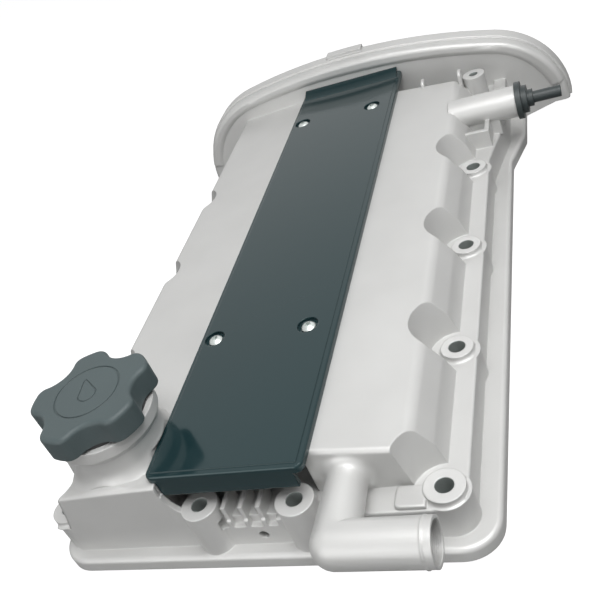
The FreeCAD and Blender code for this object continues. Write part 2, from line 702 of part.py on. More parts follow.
def make_pipe_bores():
    leg_long = "pipe_front - right_front + 2 * cast_wall"
    across = rod("pipe_long_bore", "pipe_bore", "pipe_end - pipe_side + 1",
                 "pipe_side", "-pipe_front", "pipe_height", "x")
    mouth = rod("pipe_mouth_counterbore", "pipe_mouth_bore", "pipe_mouth_deep + 1",
                "pipe_end - pipe_mouth_deep", "-pipe_front", "pipe_height", "x")
    along = rod("pipe_short_bore", "pipe_root_bore", leg_long,
                "pipe_side", "-pipe_front", "pipe_height", "y")
    corner = doc.addObject("Part::Sphere", "pipe_corner_bore")
    tie(corner, "Radius", "pipe_bore")
    place(corner, "pipe_side", "-pipe_front", "pipe_height")
    return [across, mouth, along, corner]


# The breather valve's boss at the timing end, with its web and the tall bolt column

def make_valve_boss():
    return [
        rod("valve_boss_bar", "valve_boss", "%s - %s" % (boss_end, boss_begin),
            boss_begin, "valve_place", "valve_height", "x"),
        block("valve_boss_web", bank_edge, wall_right + " + swell - 1",
              "valve_place - valve_web / 2", "valve_place + valve_web / 2",
              "ledge_top - 1", "valve_height"),
        block("valve_shelf_front", bank_edge, wall_right + " + shelf_thick / 2",
              "shelf_place - shelf_thick / 2", "shelf_place + shelf_thick / 2",
              "ledge_top - 1", "shelf_top"),
        block("valve_shelf_side", wall_right + " - shelf_thick / 2",
              wall_right + " + shelf_thick / 2", "shelf_place", "valve_place",
              "ledge_top - 1", "shelf_top"),
        rod("rear_bolt_tower", "rear_bolt_column", "rear_bolt_face",
            "bolt_right", "rear_bolt_place", "0"),
        block("rear_lug", "bolt_right + rear_lug_place", wall_right + " + swell",
              "rear_bolt_place + rear_bolt_column", "arch_front + 1",
              "ledge_top - 1", "ledge_top + shelf_thick"),
    ]


# Fins and bolt bosses in the valley's mouth, and the posts under the plate

def make_valley_parts():
    pieces = []
    for step in (-1, 0, 1):
        middle = "fin_middle + %d * fin_pitch" % step
        pieces.append(block("fin_%d" % (step + 2), middle + " - fin_thick / 2",
                            middle + " + fin_thick / 2", "-wall_front + 1",
                            "-wall_front + 1 + fin_long", "ledge_top - 1",
                            "ledge_top + fin_tall"))
    for side, x in front_bolts:
        pieces.append(rod("front_boss_" + side, "front_bolt_ring", "front_bolt_face",
                          x, "-front_bolt_place", "0"))
    for place_name, x, y in plate_screws:
        pieces.append(rod("post_" + place_name, "post_radius",
                          "bank_top - ledge_top + 1", x, y, "ledge_top - 1"))
    for name, x in (("hook_inner", "hook_place"), ("hook_outer", bank_edge + " + hook_thick")):
        pieces.append(block(name, x + " - hook_thick / 2", x + " + hook_thick / 2",
                            "right_rear - hook_long / 2", "right_rear + hook_long / 2",
                            "bank_side_top", "hook_top"))
    return pieces


def baffle_spots(side, sign):
    """The three screws of a baffle, under the middle of its bank."""
    middle = "%s * (baffle_inner + baffle_outer) / 2" % sign
    return [(side + "_1", middle, baffle_fronts[side] + " + baffle_end_screw"),
            (side + "_2", middle, "0.5 * bolt_pitch"),
            (side + "_3", middle, "baffle_rear - baffle_end_screw")]


def make_casting():
    outer = [make_flange(), make_lower_wall(), make_neck()]
    for side, sign in sides:
        outer.append(make_bank(side, sign))
    outer += make_arch() + make_pipe() + make_valve_boss()
    skin = join("outer_skin", outer)
    trough = block("valley_trough", "-valley_half", "valley_half", "-flange_front - 1",
                   "arch_front", "ledge_top", "arch_height")
    plate_room = block("plate_room", "-plate_half - plate_play", "plate_half + plate_play",
                       "-flange_front - 1", "arch_front", "bank_top",
                       plate_top + " + plate_play")
    tools = make_scallops("tool", "0") + make_arch_hollow()
    shell = cut("shell", skin, join("outer_cuts", [trough, plate_room] + tools))
    raised = join("shell_with_bosses", [shell] + make_columns() + make_valley_parts())

    hollows = [block("camshaft_room", "-%s + cast_wall" % wall_left,
                     wall_right + " - cast_wall",
                     "-wall_front + cast_wall", "arch_front - 2 * cast_wall",
                     "-1", "ledge_top - cast_wall")]
    kept = make_scallops("wall", "roof_wall")
    for side, sign in sides:
        hollows.append(make_bank_hollow(side, sign))
        for spot, x, y in baffle_spots(side, sign):
            kept.append(rod("baffle_post_" + spot, "baffle_post",
                            "bank_top - baffle_height - baffle_thick", x, y,
                            "baffle_height + baffle_thick"))
        for row, y in enumerate(bolt_rows, 1):
            kept.append(rod("column_root_%s_%d" % (side, row), side + "_column",
                            "ledge_top", "%s * bolt_%s" % (sign, side), y, "-1"))
    for side, x in front_bolts:
        kept.append(rod("front_boss_root_" + side, "front_bolt_ring", "ledge_top",
                        x, "-front_bolt_place", "-1"))
    for row, y in enumerate(well_rows, 1):
        kept.append(rod("well_%d" % row, "well_bore + well_wall", "ledge_top + 1",
                        "0", y, "-1"))
    kept.append(rod("valve_boss_root_bar", "valve_boss", "%s - %s" % (boss_end, bank_edge),
                    boss_begin, "valve_place", "valve_height", "x"))
    kept.append(rod("rear_bolt_root", "rear_bolt_column", "rear_bolt_face",
                    "bolt_right", "rear_bolt_place", "-1"))
    open_hollow = cut("open_hollow", join("hollow_space", hollows),
                      join("kept_in_hollow", kept))
    return cut("hollow_shell", raised, open_hollow)


def make_bores():
    bores = []
    for side, sign in sides:
        for row, y in enumerate(bolt_rows, 1):
            bores.append(rod("bolt_bore_%s_%d" % (side, row), "bolt_hole", "bolt_face + 2",
                             "%s * bolt_%s" % (sign, side), y, "-1"))
        for spot, x, y in baffle_spots(side, sign):
            bores.append(rod("baffle_bore_" + spot, "baffle_screw",
                             "baffle_screw_long + 1", x, y, "baffle_height"))
    for side, x in front_bolts:
        bores.append(rod("front_bore_" + side, "front_bolt_hole", "front_bolt_face + 2",
                         x, "-front_bolt_place", "-1"))
    for row, y in enumerate(well_rows, 1):
        bores.append(rod("well_bore_%d" % row, "well_bore", "ledge_top + 2", "0", y, "-1"))
        bores.append(rod("well_seat_%d" % row, "well_seal_bore", "well_seal_tall + 1",
                         "0", y, "-1"))
    for place_name, x, y in plate_screws:
        bores.append(rod("screw_bore_" + place_name, "screw_shank", "screw_long + 1", x, y,
                         "%s - screw_long - 1" % screw_seat))
    bores.append(rod("filler_bore", "neck_bore", "neck_top", "-neck_side",
                     "-neck_front", "ledge_top"))
    bores.append(rod("rear_bolt_bore", "rear_bolt_hole", "rear_bolt_face + 2",
                     "bolt_right", "rear_bolt_place", "-1"))
    bores.append(rod("drain_hole", "drain_bore", "2 * cast_wall", "drain_side",
                     "-wall_front - cast_wall / 2", "drain_height", "y"))
    bores.append(rod("valve_seat_bore", "valve_bore", "valve_bore_deep + 1",
                     boss_end + " - valve_bore_deep", "valve_place", "valve_height", "x"))
    bores.append(rod("valve_passage_bore", "valve_passage",
                     "%s - valve_bore_deep - %s + valve_passage_reach + 1"
                     % (boss_end, bank_edge), bank_edge + " - valve_passage_reach",
                     "valve_place", "valve_height", "x"))
    return bores + make_pipe_bores()


groove = cut("gasket_groove", loop_body("groove_outside", "groove_outer", "-1",
                                        "groove_deep + 1"),
             loop_body("groove_inside", "(groove_outer + groove_wide)", "-2",
                       "groove_deep + 4"))
casting = cut("cover_casting", make_casting(), join("bores_and_groove",
                                                    make_bores() + [groove]))


# The glossy plate over the plugs, with a front lip, a rear ramp and four sunk bosses

def make_plate():
    body = new_body("plate_slab")
    sketch = outline(body, "plateOutline", "XY_Plane", "bank_top", [
        ("-plate_half", "plate_end"),
        ("-plate_half", "-plate_front"),
        ("plate_half", "-plate_front"),
        ("plate_half", "plate_end"),
    ])
    padded = pad(body, sketch, "plate_rise")
    front = number("-plate_front") + 0.01
    corners = round_edges(body, padded, "plateCorners", "plate_corner",
                          lambda edge: upright(edge) and edge.CenterOfMass.y < front)
    rear = number("plate_end") - 0.01
    round_edges(body, corners, "plateTopRound", "plate_round",
                lambda edge: near(edge.CenterOfMass.z, plate_top)
                and edge.CenterOfMass.y < rear)
    under = block("plate_underside", "-plate_half + plate_thick", "plate_half - plate_thick",
                  "-plate_front + plate_thick", "plate_end + 1", "bank_top - 1",
                  plate_top + " - plate_thick")
    lip = block("plate_front_lip", "-valley_half + plate_play", "valley_half - plate_play",
                "-plate_front", "-plate_front + plate_thick",
                plate_top + " - plate_lip", plate_top + " - plate_round")
    ramp_body = new_body("plate_ramp")
    ramp_sketch = outline(ramp_body, "plateRampSection", "YZ_Plane",
                          "-plate_half + plate_thick", [
                              ("plate_rear", plate_top),
                              ("plate_rear", plate_top + " - plate_thick / 2"),
                              ("plate_end", plate_top + " - plate_thick / 2"),
                              ("plate_end", plate_top + " + plate_upturn"),
                          ])
    pad(ramp_body, ramp_sketch, "2 * plate_half - 2 * plate_thick")
    bosses = []
    sinks = []
    for place_name, x, y in plate_screws:
        bosses.append(rod("plate_boss_" + place_name, "plate_boss",
                          "plate_rise - recess_deep / 2", x, y, "bank_top"))
        sinks.append(rod("plate_recess_" + place_name, "screw_recess", "recess_deep + 1",
                         x, y, screw_seat))
        sinks.append(rod("plate_hole_" + place_name, "screw_shank + hole_play",
                         "plate_rise + 2", x, y, "bank_top - 1"))
    tray = cut("plate_tray", body, under)
    solid = join("plate_with_bosses", [tray, lip, ramp_body] + bosses)
    return cut("plug_wire_cover", solid, join("plate_sinks", sinks))


# Round-headed screws, seated on a height and pointing down or up

def make_screw(name, head, dome, shank, length, spot):
    rise = "(%s - screw_rim)" % dome
    screw = spun(name, [
        ("0", "-%s" % length),
        (shank, "-%s" % length),
        (shank, "0"),
        (head, "0"),
        (head, "screw_rim"),
        ("0", dome, "(%s ^ 2 + %s ^ 2) / (2 * %s)" % (head, rise, rise), 1),
    ])
    socket = doc.addObject("Part::Prism", name + "_socket")
    socket.Polygon = 6
    tie(socket, "Circumradius", "screw_socket")
    tie(socket, "Height", "socket_deep + 1")
    x, y, z, down = spot
    place(screw, x, y, z)
    if down:
        place(socket, x, y, "%s + %s - socket_deep" % (z, dome))
    else:
        screw.Placement.Rotation = turned["-z"]
        place(socket, x, y, "%s - %s - 1" % (z, dome))
    return cut(name + "_driven", screw, socket)


def make_plate_screws():
    return join("plug_cover_screws", [
        make_screw("plate_screw_" + place_name, "screw_head", "screw_dome",
                   "(screw_shank - fit_play)", "screw_long", (x, y, screw_seat, True))
        for place_name, x, y in plate_screws])


def make_baffle_screws(side, sign):
    return join("baffle_screws_" + side, [
        make_screw("baffle_screw_" + spot, "baffle_screw_head", "baffle_screw_dome",
                   "(baffle_screw - fit_play)", "baffle_screw_long",
                   (x, y, "baffle_height", False))
        for spot, x, y in baffle_spots(side, sign)])


def make_baffle(side, sign):
    body = new_body("baffle_sheet_" + side)
    edges = ["%s * baffle_inner" % sign, "%s * baffle_outer" % sign]
    sketch = outline(body, side + "BaffleOutline", "XY_Plane", "baffle_height", [
        (edges[0], baffle_fronts[side]), (edges[1], baffle_fronts[side]),
        (edges[1], "baffle_rear"), (edges[0], "baffle_rear")])
    sheet = pad(body, sketch, "baffle_thick")
    round_edges(body, sheet, side + "BaffleCorners", "baffle_corner", upright)
    holes = [rod("baffle_hole_" + spot, "baffle_screw + hole_play", "baffle_thick + 2",
                 x, y, "baffle_height - 1") for spot, x, y in baffle_spots(side, sign)]
    return cut("baffle_plate_" + side, body, join("baffle_holes_" + side, holes))


# The oil cap: a lobed grip on a hollow stem

def disc(body, name, level, radius, x):
    sketch = body.newObject("Sketcher::SketchObject", name)
    sketch.AttachmentSupport = [(origin_plane(body, "XY_Plane"), "")]
    sketch.MapMode = "FlatFace"
    tie(sketch, "AttachmentOffset.Base.z", level)
    centre = Vector(number(x), 0, 0)
    sketch.addGeometry(Part.Circle(centre, Vector(0, 0, 1), number(radius)), False)
    for kind, points, text in (("Radius", (0,), radius), ("DistanceX", (-1, 1, 0, 3), x),
                               ("DistanceY", (-1, 1, 0, 3), "0")):
        limit = sketch.addConstraint(Sketcher.Constraint(kind, *points, number(text)))
        tie(sketch, "Constraints[%d]" % limit, text)
    return sketch


def make_grip():
    body = new_body("cap_grip")
    drum = pad(body, disc(body, "gripOutline", "0", "cap_radius", "0"), "cap_tall")
    full = drum.Shape.Volume
    scoop = body.newObject("PartDesign::Pocket", "gripScoop")
    scoop.Profile = disc(body, "scoopOutline", "cap_tall", "cap_scoop",
                         "cap_radius - cap_scoop_deep + cap_scoop")
    tie(scoop, "Length", "cap_tall + 1")
    doc.recompute()
    if scoop.Shape.Volume >= full:
        raise RuntimeError("the scoop runs away from the grip")
    scoops = body.newObject("PartDesign::PolarPattern", "gripScoops")
    scoops.Originals = [scoop]
    scoops.Axis = (scoop.Profile[0], ["N_Axis"])
    scoops.Angle = 360
    tie(scoops, "Occurrences", "cap_lobes")
    body.Tip = scoops
    doc.recompute()
    lobes = round_edges(body, scoops, "gripLobes", "cap_lobe_round", upright)
    round_edges(body, lobes, "gripTopRound", "cap_round",
                lambda edge: near(edge.CenterOfMass.z, "cap_tall"))
    body.Placement.Rotation = Rotation(Vector(0, 0, 1), number("cap_turn"))
    place(body, "-neck_side", "-neck_front", cap_base)
    return body


def make_cap():
    centre = ("-neck_side", "-neck_front")
    stem = rod("cap_stem_bar", "cap_stem", "cap_stem_long + cap_seal_thick + 1", *centre,
               "%s - cap_stem_long - cap_seal_thick" % cap_base)
    cores = [rod("cap_stem_core", "cap_hollow", "cap_stem_long + cap_tall - cap_skin + 3",
                 *centre, "%s - cap_stem_long - 3" % cap_base)]
    lobes = round(number("cap_lobes"))
    for index in range(lobes):
        angle = math.radians(number("cap_turn") + 360 / lobes * (index + 0.5))
        cores.append(rod("cap_cell_%d" % (index + 1), "cap_cell", "cap_tall - cap_skin + 1",
                         "-neck_side + %.9f * cap_cell_reach" % math.cos(angle),
                         "-neck_front + %.9f * cap_cell_reach" % math.sin(angle),
                         "%s - 1" % cap_base))
    ring = cut("cap_ring_line",
               rod("cap_ring_outside", "cap_ring + cap_ring_wide / 2", "cap_ring_deep + 1",
                   *centre, "%s + cap_tall - cap_ring_deep" % cap_base),
               rod("cap_ring_inside", "cap_ring - cap_ring_wide / 2", "cap_ring_deep + 3",
                   *centre, "%s + cap_tall - cap_ring_deep - 1" % cap_base))
    return cut("oil_filler_cap", join("cap_solid", [make_grip(), stem]),
               join("cap_cores", cores + [ring]))


def make_cap_seal():
    seal = spun("oil_cap_seal", [
        ("cap_stem + fit_play", "0"),
        ("cap_stem + fit_play + cap_seal_wide", "0"),
        ("cap_stem + fit_play + cap_seal_wide", "cap_seal_thick"),
        ("cap_stem + fit_play", "cap_seal_thick"),
    ])
    place(seal, "-neck_side", "-neck_front", "neck_top")
    return seal


# Rubber: the gasket in its groove and a ring in the foot of each plug well

def make_gasket():
    return cut("cover_gasket",
               loop_body("gasket_outside", "(groove_outer + seal_play)", "-gasket_proud",
                         "groove_deep + gasket_proud"),
               loop_body("gasket_inside", "(groove_outer + groove_wide - seal_play)", "-2",
                         "groove_deep + 4"))


def make_well_seals():
    seals = []
    for row, y in enumerate(well_rows, 1):
        seal = spun("plug_tube_seal_%d" % row, [
            ("well_seal_hole", "0"),
            ("well_seal_bore - seal_play", "0"),
            ("well_seal_bore - seal_play", "well_seal_tall"),
            ("well_bore", "well_seal_tall"),
            ("well_seal_hole", "well_seal_tall / 2"),
        ])
        place(seal, "0", y, "0")
        seals.append(seal)
    return seals


# The breather valve; heights run from its inner end outwards, along +X

def along_valve(thing, begin="0"):
    thing.Placement.Rotation = turned["x"]
    place(thing, "%s - valve_bore_deep + %s" % (boss_end, begin), "valve_place",
          "valve_height")
    return thing


def make_valve():
    shank = "(valve_bore - fit_play)"
    groove_floor = "valve_bore - valve_seal_deep"
    groove_end = "valve_seal_place + valve_seal_wide"
    at_face = "valve_bore_deep"
    flange_end = at_face + " + valve_flange_thick"
    step_end = flange_end + " + valve_step_long"
    neck_end = step_end + " + valve_neck_long"
    body = along_valve(spun("breather_valve_body", [
        ("valve_inlet", "0"), (shank, "0"),
        (shank, "valve_seal_place"), (groove_floor, "valve_seal_place"),
        (groove_floor, groove_end), (shank, groove_end),
        (shank, at_face), ("valve_flange", at_face),
        ("valve_flange", flange_end), ("valve_step", flange_end),
        ("valve_step", step_end), ("valve_neck", step_end),
        ("valve_neck", neck_end), ("valve_chamber", neck_end),
        ("valve_chamber", "valve_floor"), ("valve_inlet", "valve_floor"),
    ]))
    collar = "(valve_chamber - fit_play)"
    nozzle = along_valve(spun("breather_valve_nozzle", [
        ("nozzle_bore", "nozzle_root"), (collar, "nozzle_root"),
        (collar, neck_end), ("nozzle_outer", neck_end),
        ("nozzle_outer", "nozzle_reach + valve_bore_deep"),
        ("nozzle_bore", "nozzle_reach + valve_bore_deep"),
    ]))
    head = "(valve_chamber - plunger_play)"
    shoulder = "(valve_floor + plunger_head)"
    plunger = along_valve(spun("breather_valve_plunger", [
        ("0", "valve_floor"), (head, "valve_floor"),
        (head, shoulder), ("plunger_stem", shoulder),
        ("plunger_stem", "valve_floor + plunger_long - plunger_cone"),
        ("plunger_tip", "valve_floor + plunger_long"),
        ("0", "valve_floor + plunger_long"),
    ]))
    seal = along_valve(spun("breather_valve_seal", [
        (groove_floor + " + seal_play / 2", "valve_seal_place + seal_play"),
        ("valve_bore - fit_play / 2", "valve_seal_place + seal_play"),
        ("valve_bore - fit_play / 2", groove_end + " - seal_play"),
        (groove_floor + " + seal_play / 2", groove_end + " - seal_play"),
    ]))
    reach = "(nozzle_root - %s - 2 * spring_wire - 2 * fit_play)" % shoulder
    coil = doc.addObject("Part::Helix", "spring_line")
    tie(coil, "Radius", "spring_radius")
    tie(coil, "Height", reach)
    tie(coil, "Pitch", reach + " / spring_turns")
    wire = doc.addObject("Part::Circle", "spring_section")
    tie(wire, "Radius", "spring_wire")
    wire.Placement.Rotation = Rotation(Vector(1, 0, 0), 90)
    place(wire, "spring_radius", "0", "0")
    spring = doc.addObject("Part::Sweep", "breather_valve_spring")
    spring.Sections = [wire]
    spring.Spine = (coil, [])
    spring.Solid = True
    spring.Frenet = True
    along_valve(spring, shoulder + " + spring_wire + fit_play")
    return [body, nozzle, plunger, spring, seal]


nodes = [casting, make_plate(), make_plate_screws(), make_cap(), make_cap_seal(),
         make_gasket()]
nodes += make_well_seals()
for side, sign in sides:
    nodes += [make_baffle(side, sign), make_baffle_screws(side, sign)]
nodes += make_valve()
doc.recompute()

for item in doc.Objects:
    if "Invalid" in item.State or "Error" in item.State:
        raise RuntimeError(item.Name + " did not build")
for node in nodes:
    if node.Shape.isNull() or not node.Shape.isValid() or not node.Shape.Solids:
        raise RuntimeError(node.Name + " has no sound shape")

os.makedirs("parts", exist_ok=True)
for node in nodes:
    node.Label = node.Name
    node.Shape.exportStep("parts/%s.step" % node.Name)
    print(node.Name, len(node.Shape.Solids), round(node.Shape.Volume))
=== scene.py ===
import math

import bmesh
import bpy
from mathutils import Matrix, Quaternion, Vector


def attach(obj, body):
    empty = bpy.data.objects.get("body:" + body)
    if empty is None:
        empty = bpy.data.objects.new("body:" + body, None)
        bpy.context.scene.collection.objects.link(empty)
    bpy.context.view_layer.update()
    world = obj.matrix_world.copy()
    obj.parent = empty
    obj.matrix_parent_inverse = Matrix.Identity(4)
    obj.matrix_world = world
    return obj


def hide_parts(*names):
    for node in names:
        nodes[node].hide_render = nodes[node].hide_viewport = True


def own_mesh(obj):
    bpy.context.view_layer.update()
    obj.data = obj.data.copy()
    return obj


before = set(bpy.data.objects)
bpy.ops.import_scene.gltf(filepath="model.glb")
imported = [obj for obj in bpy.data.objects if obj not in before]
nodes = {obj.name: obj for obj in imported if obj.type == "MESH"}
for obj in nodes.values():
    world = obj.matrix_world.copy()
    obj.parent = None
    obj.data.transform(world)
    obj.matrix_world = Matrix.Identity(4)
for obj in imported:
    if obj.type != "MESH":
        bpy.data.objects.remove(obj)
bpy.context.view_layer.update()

mm = 0.001
scene = bpy.context.scene
scene.view_settings.view_transform = "Standard"
print("frame loaded:", len(nodes), "nodes")


# Shared shader effects

def newGroup(name, inputs, outputs):
    group = bpy.data.node_groups.new(name, "ShaderNodeTree")
    for label, value in inputs.items():
        socket = group.interface.new_socket(label, in_out="INPUT",
                                            socket_type="NodeSocketFloat")
        socket.default_value = value
    for label in outputs:
        group.interface.new_socket(label, in_out="OUTPUT", socket_type="NodeSocketFloat")
    return group, group.nodes.new("NodeGroupInput"), group.nodes.new("NodeGroupOutput")


def addMath(tree, operation, first, second):
    node = tree.nodes.new("ShaderNodeMath")
    node.operation = operation
    for socket, value in zip(node.inputs, (first, second)):
        if isinstance(value, (int, float)):
            socket.default_value = value
        else:
            tree.links.new(value, socket)
    return node.outputs[0]


def addNoise(tree, coordinate, scale, detail):
    noise = tree.nodes.new("ShaderNodeTexNoise")
    noise.inputs["Detail"].default_value = detail
    tree.links.new(coordinate, noise.inputs["Vector"])
    if isinstance(scale, (int, float)):
        noise.inputs["Scale"].default_value = scale
    else:
        tree.links.new(scale, noise.inputs["Scale"])
    return noise.outputs["Fac"]


# A fine moulded or sprayed skin: Tone drifts slowly over the surface, Height is the grain
skinNoise = {"scale": 400.0, "fineDetail": 3, "broadDetail": 2, "broadShare": 0.05,
             "middle": 0.5}


def buildSkinGroup():
    group, entry, leave = newGroup(
        "surfaceSkin", {"Scale": skinNoise["scale"], "Drift": 1.0}, ("Tone", "Height"))
    spot = group.nodes.new("ShaderNodeTexCoord").outputs["Object"]
    fine = addNoise(group, spot, entry.outputs["Scale"], skinNoise["fineDetail"])
    broadScale = addMath(group, "MULTIPLY", entry.outputs["Scale"], skinNoise["broadShare"])
    broad = addNoise(group, spot, broadScale, skinNoise["broadDetail"])
    centred = addMath(group, "SUBTRACT", broad, skinNoise["middle"])
    drift = addMath(group, "MULTIPLY", centred, entry.outputs["Drift"])
    group.links.new(addMath(group, "ADD", drift, skinNoise["middle"]), leave.inputs["Tone"])
    group.links.new(fine, leave.inputs["Height"])
    return group


# Fine lines along one direction, as a drawn or rolled metal has
drawnNoise = {"scale": 60.0, "stretch": 25.0, "detail": 4}


def buildDrawnGroup():
    group, entry, leave = newGroup(
        "drawnLines", {"Scale": drawnNoise["scale"], "Stretch": drawnNoise["stretch"]},
        ("Lines",))
    spot = group.nodes.new("ShaderNodeTexCoord").outputs["Object"]
    mapping = group.nodes.new("ShaderNodeMapping")
    group.links.new(spot, mapping.inputs["Vector"])
    spread = group.nodes.new("ShaderNodeCombineXYZ")
    group.links.new(entry.outputs["Stretch"], spread.inputs["X"])
    spread.inputs["Y"].default_value = 1.0
    group.links.new(entry.outputs["Stretch"], spread.inputs["Z"])
    group.links.new(spread.outputs["Vector"], mapping.inputs["Scale"])
    lines = addNoise(group, mapping.outputs["Vector"], entry.outputs["Scale"],
                     drawnNoise["detail"])
    group.links.new(lines, leave.inputs["Lines"])
    return group


# Where the bolts stand, seen from above
bolts = {"left": -101.0, "right": 92.9, "rows": (-129.0, -43.0, 43.0, 129.0), "pitch": 86.0,
         "front": ((-19.8, -136.2), (28.1, -136.2)), "tower": (92.9, 225.8)}

# Where the bolt holes get painted shade, darker than the paint, and where the rings round them
# are faced off bright
bores = {"lastRow": 136.0, "pitchesBehind": 4, "radius": 4.3, "ringRadius": 9.6,
         "ringHeight": 28.0, "frontRingHeight": 33.4, "faceDepth": 0.06, "frontRadius": 4.1,
         "towerRadius": 3.1}


# A group giving painted shade inside the bolt holes, and the faced ring tops
def buildBoreGroup():
    group, _, leave = newGroup("bareBores", {}, ("Mask", "Faced"))
    spot = group.nodes.new("ShaderNodeTexCoord").outputs["Object"]
    parts = group.nodes.new("ShaderNodeSeparateXYZ")
    group.links.new(spot, parts.inputs[0])
    x = addMath(group, "MULTIPLY", parts.outputs["X"], 1 / mm)
    y = addMath(group, "MULTIPLY", parts.outputs["Y"], 1 / mm)
    z = addMath(group, "MULTIPLY", parts.outputs["Z"], 1 / mm)

    def atHeight(height):
        apart = addMath(group, "ABSOLUTE", addMath(group, "SUBTRACT", z, height), 0.0)
        return addMath(group, "LESS_THAN", apart, bores["faceDepth"])

    def away(fromX, fromY):
        across = addMath(group, "POWER", addMath(group, "ABSOLUTE", fromX, 0.0), 2.0)
        along = addMath(group, "POWER", addMath(group, "ABSOLUTE", fromY, 0.0), 2.0)
        return addMath(group, "SQRT", addMath(group, "ADD", across, along), 0.0)

    toRows = addMath(group, "MINIMUM", *[
        addMath(group, "ABSOLUTE", addMath(group, "SUBTRACT", x, row), 0.0)
        for row in (bolts["left"], bolts["right"])])
    start = bolts["rows"][0] - bolts["pitch"] * bores["pitchesBehind"]
    pastBolt = addMath(group, "MODULO", addMath(group, "SUBTRACT", y, start), bolts["pitch"])
    toNext = addMath(group, "SUBTRACT", bolts["pitch"], pastBolt)
    onRows = addMath(group, "LESS_THAN", y, bores["lastRow"])
    toBolt = away(toRows, addMath(group, "MINIMUM", pastBolt, toNext))
    # Inside the bolt holes: the mask for painted shade
    shadedBoreMask = addMath(group, "MULTIPLY", onRows,
                   addMath(group, "LESS_THAN", toBolt, bores["radius"]))
    faced = addMath(group, "MULTIPLY", atHeight(bores["ringHeight"]), addMath(
        group, "MULTIPLY", onRows, addMath(group, "LESS_THAN", toBolt, bores["ringRadius"])))
    singles = [(place, bores["frontRadius"]) for place in bolts["front"]]
    singles.append((bolts["tower"], bores["towerRadius"]))
    for (boltX, boltY), radius in singles:
        apart = away(addMath(group, "SUBTRACT", x, boltX), addMath(group, "SUBTRACT", y, boltY))
        shadedBoreMask = addMath(group, "MAXIMUM", shadedBoreMask, addMath(group, "LESS_THAN", apart, radius))
        near = addMath(group, "LESS_THAN", apart, bores["ringRadius"])
        faced = addMath(group, "MAXIMUM", faced, addMath(
            group, "MULTIPLY", near, atHeight(bores["frontRingHeight"])))
    group.links.new(shadedBoreMask, leave.inputs["Mask"])
    group.links.new(faced, leave.inputs["Faced"])
    return group


skinGroup = buildSkinGroup()
drawnGroup = buildDrawnGroup()
boreGroup = buildBoreGroup()


def placeGroup(tree, group, values):
    node = tree.nodes.new("ShaderNodeGroup")
    node.node_tree = group
    for label, value in values.items():
        node.inputs[label].default_value = value
    return node


def mixColours(tree, factor, first, second):
    mix = tree.nodes.new("ShaderNodeMix")
    mix.data_type = "RGBA"
    tree.links.new(factor, mix.inputs["Factor"])
    for socket, value in ((mix.inputs["A"], first), (mix.inputs["B"], second)):
        if isinstance(value, tuple):
            socket.default_value = (*value, 1.0)
        else:
            tree.links.new(value, socket)
    return mix.outputs["Result"]


def remap(tree, value, low, high):
    node = tree.nodes.new("ShaderNodeMapRange")
    tree.links.new(value, node.inputs["Value"])
    node.inputs["To Min"].default_value = low
    node.inputs["To Max"].default_value = high
    return node.outputs["Result"]


edgeSamples = 6


def newMaterial(name, look):
    material = bpy.data.materials.new(name)
    material.use_nodes = True
    tree = material.node_tree
    shader = tree.nodes["Principled BSDF"]
    shader.inputs["Metallic"].default_value = look.get("metallic", 0.0)
    shader.inputs["IOR"].default_value = look.get("ior", 1.5)
    shader.inputs["Specular Tint"].default_value = (*look.get("tint", (1.0, 1.0, 1.0)), 1.0)
    skin = placeGroup(tree, skinGroup, {"Scale": look["grain"], "Drift": look["drift"]})
    colour = mixColours(tree, skin.outputs["Tone"], look["shade"], look["colour"])
    low, high = look["roughness"]
    rough = remap(tree, skin.outputs["Tone"], low, high)
    height = skin.outputs["Height"]
    if "lines" in look:
        drawn = placeGroup(tree, drawnGroup, {"Scale": look["lines"]})
        height = drawn.outputs["Lines"]
        rough = remap(tree, drawn.outputs["Lines"], low, high)
    # Bolt holes darken to a painted shade colour; ring tops take the faced colour
    if "bore" in look:
        bare = placeGroup(tree, boreGroup, {})
        colour = mixColours(tree, bare.outputs["Faced"], colour, look["faced"])
        colour = mixColours(tree, bare.outputs["Mask"], colour, look["bore"])
    tree.links.new(colour, shader.inputs["Base Color"])
    tree.links.new(rough, shader.inputs["Roughness"])
    bump = tree.nodes.new("ShaderNodeBump")
    bump.inputs["Strength"].default_value = look["bump"]
    bump.inputs["Distance"].default_value = look["bumpDeep"] * mm
    tree.links.new(height, bump.inputs["Height"])
    if look.get("soften"):
        soft = tree.nodes.new("ShaderNodeBevel")
        soft.samples = edgeSamples
        soft.inputs["Radius"].default_value = look["soften"] * mm
        tree.links.new(soft.outputs["Normal"], bump.inputs["Normal"])
    tree.links.new(bump.outputs["Normal"], shader.inputs["Normal"])
    return material


castLook = {  # silver paint over a fine die-cast skin
    "colour": (0.62, 0.62, 0.61), "shade": (0.55, 0.55, 0.54), "metallic": 0.25,
    "roughness": (0.38, 0.48), "grain": 520.0, "drift": 1.4, "bump": 0.16, "bumpDeep": 0.35,
    # the bolt-hole colour is painted shade; faced is the faced-off ring tops
    "soften": 1.0, "bore": (0.34, 0.37, 0.36), "faced": (0.64, 0.64, 0.63)}
plateLook = {  # polished black moulding with a faint ripple
    "colour": (0.012, 0.032, 0.036), "shade": (0.009, 0.025, 0.029), "roughness": (0.08, 0.14),
    "grain": 60.0, "drift": 1.0, "bump": 0.05, "bumpDeep": 0.6, "ior": 1.45, "soften": 0.7,
    "tint": (0.84, 1.0, 1.0)}
capLook = {  # fine-grained dark grey moulding
    "colour": (0.066, 0.090, 0.093), "shade": (0.052, 0.072, 0.075), "roughness": (0.48, 0.6),
    "grain": 900.0, "drift": 1.2, "bump": 0.25, "bumpDeep": 0.25, "soften": 0.6}
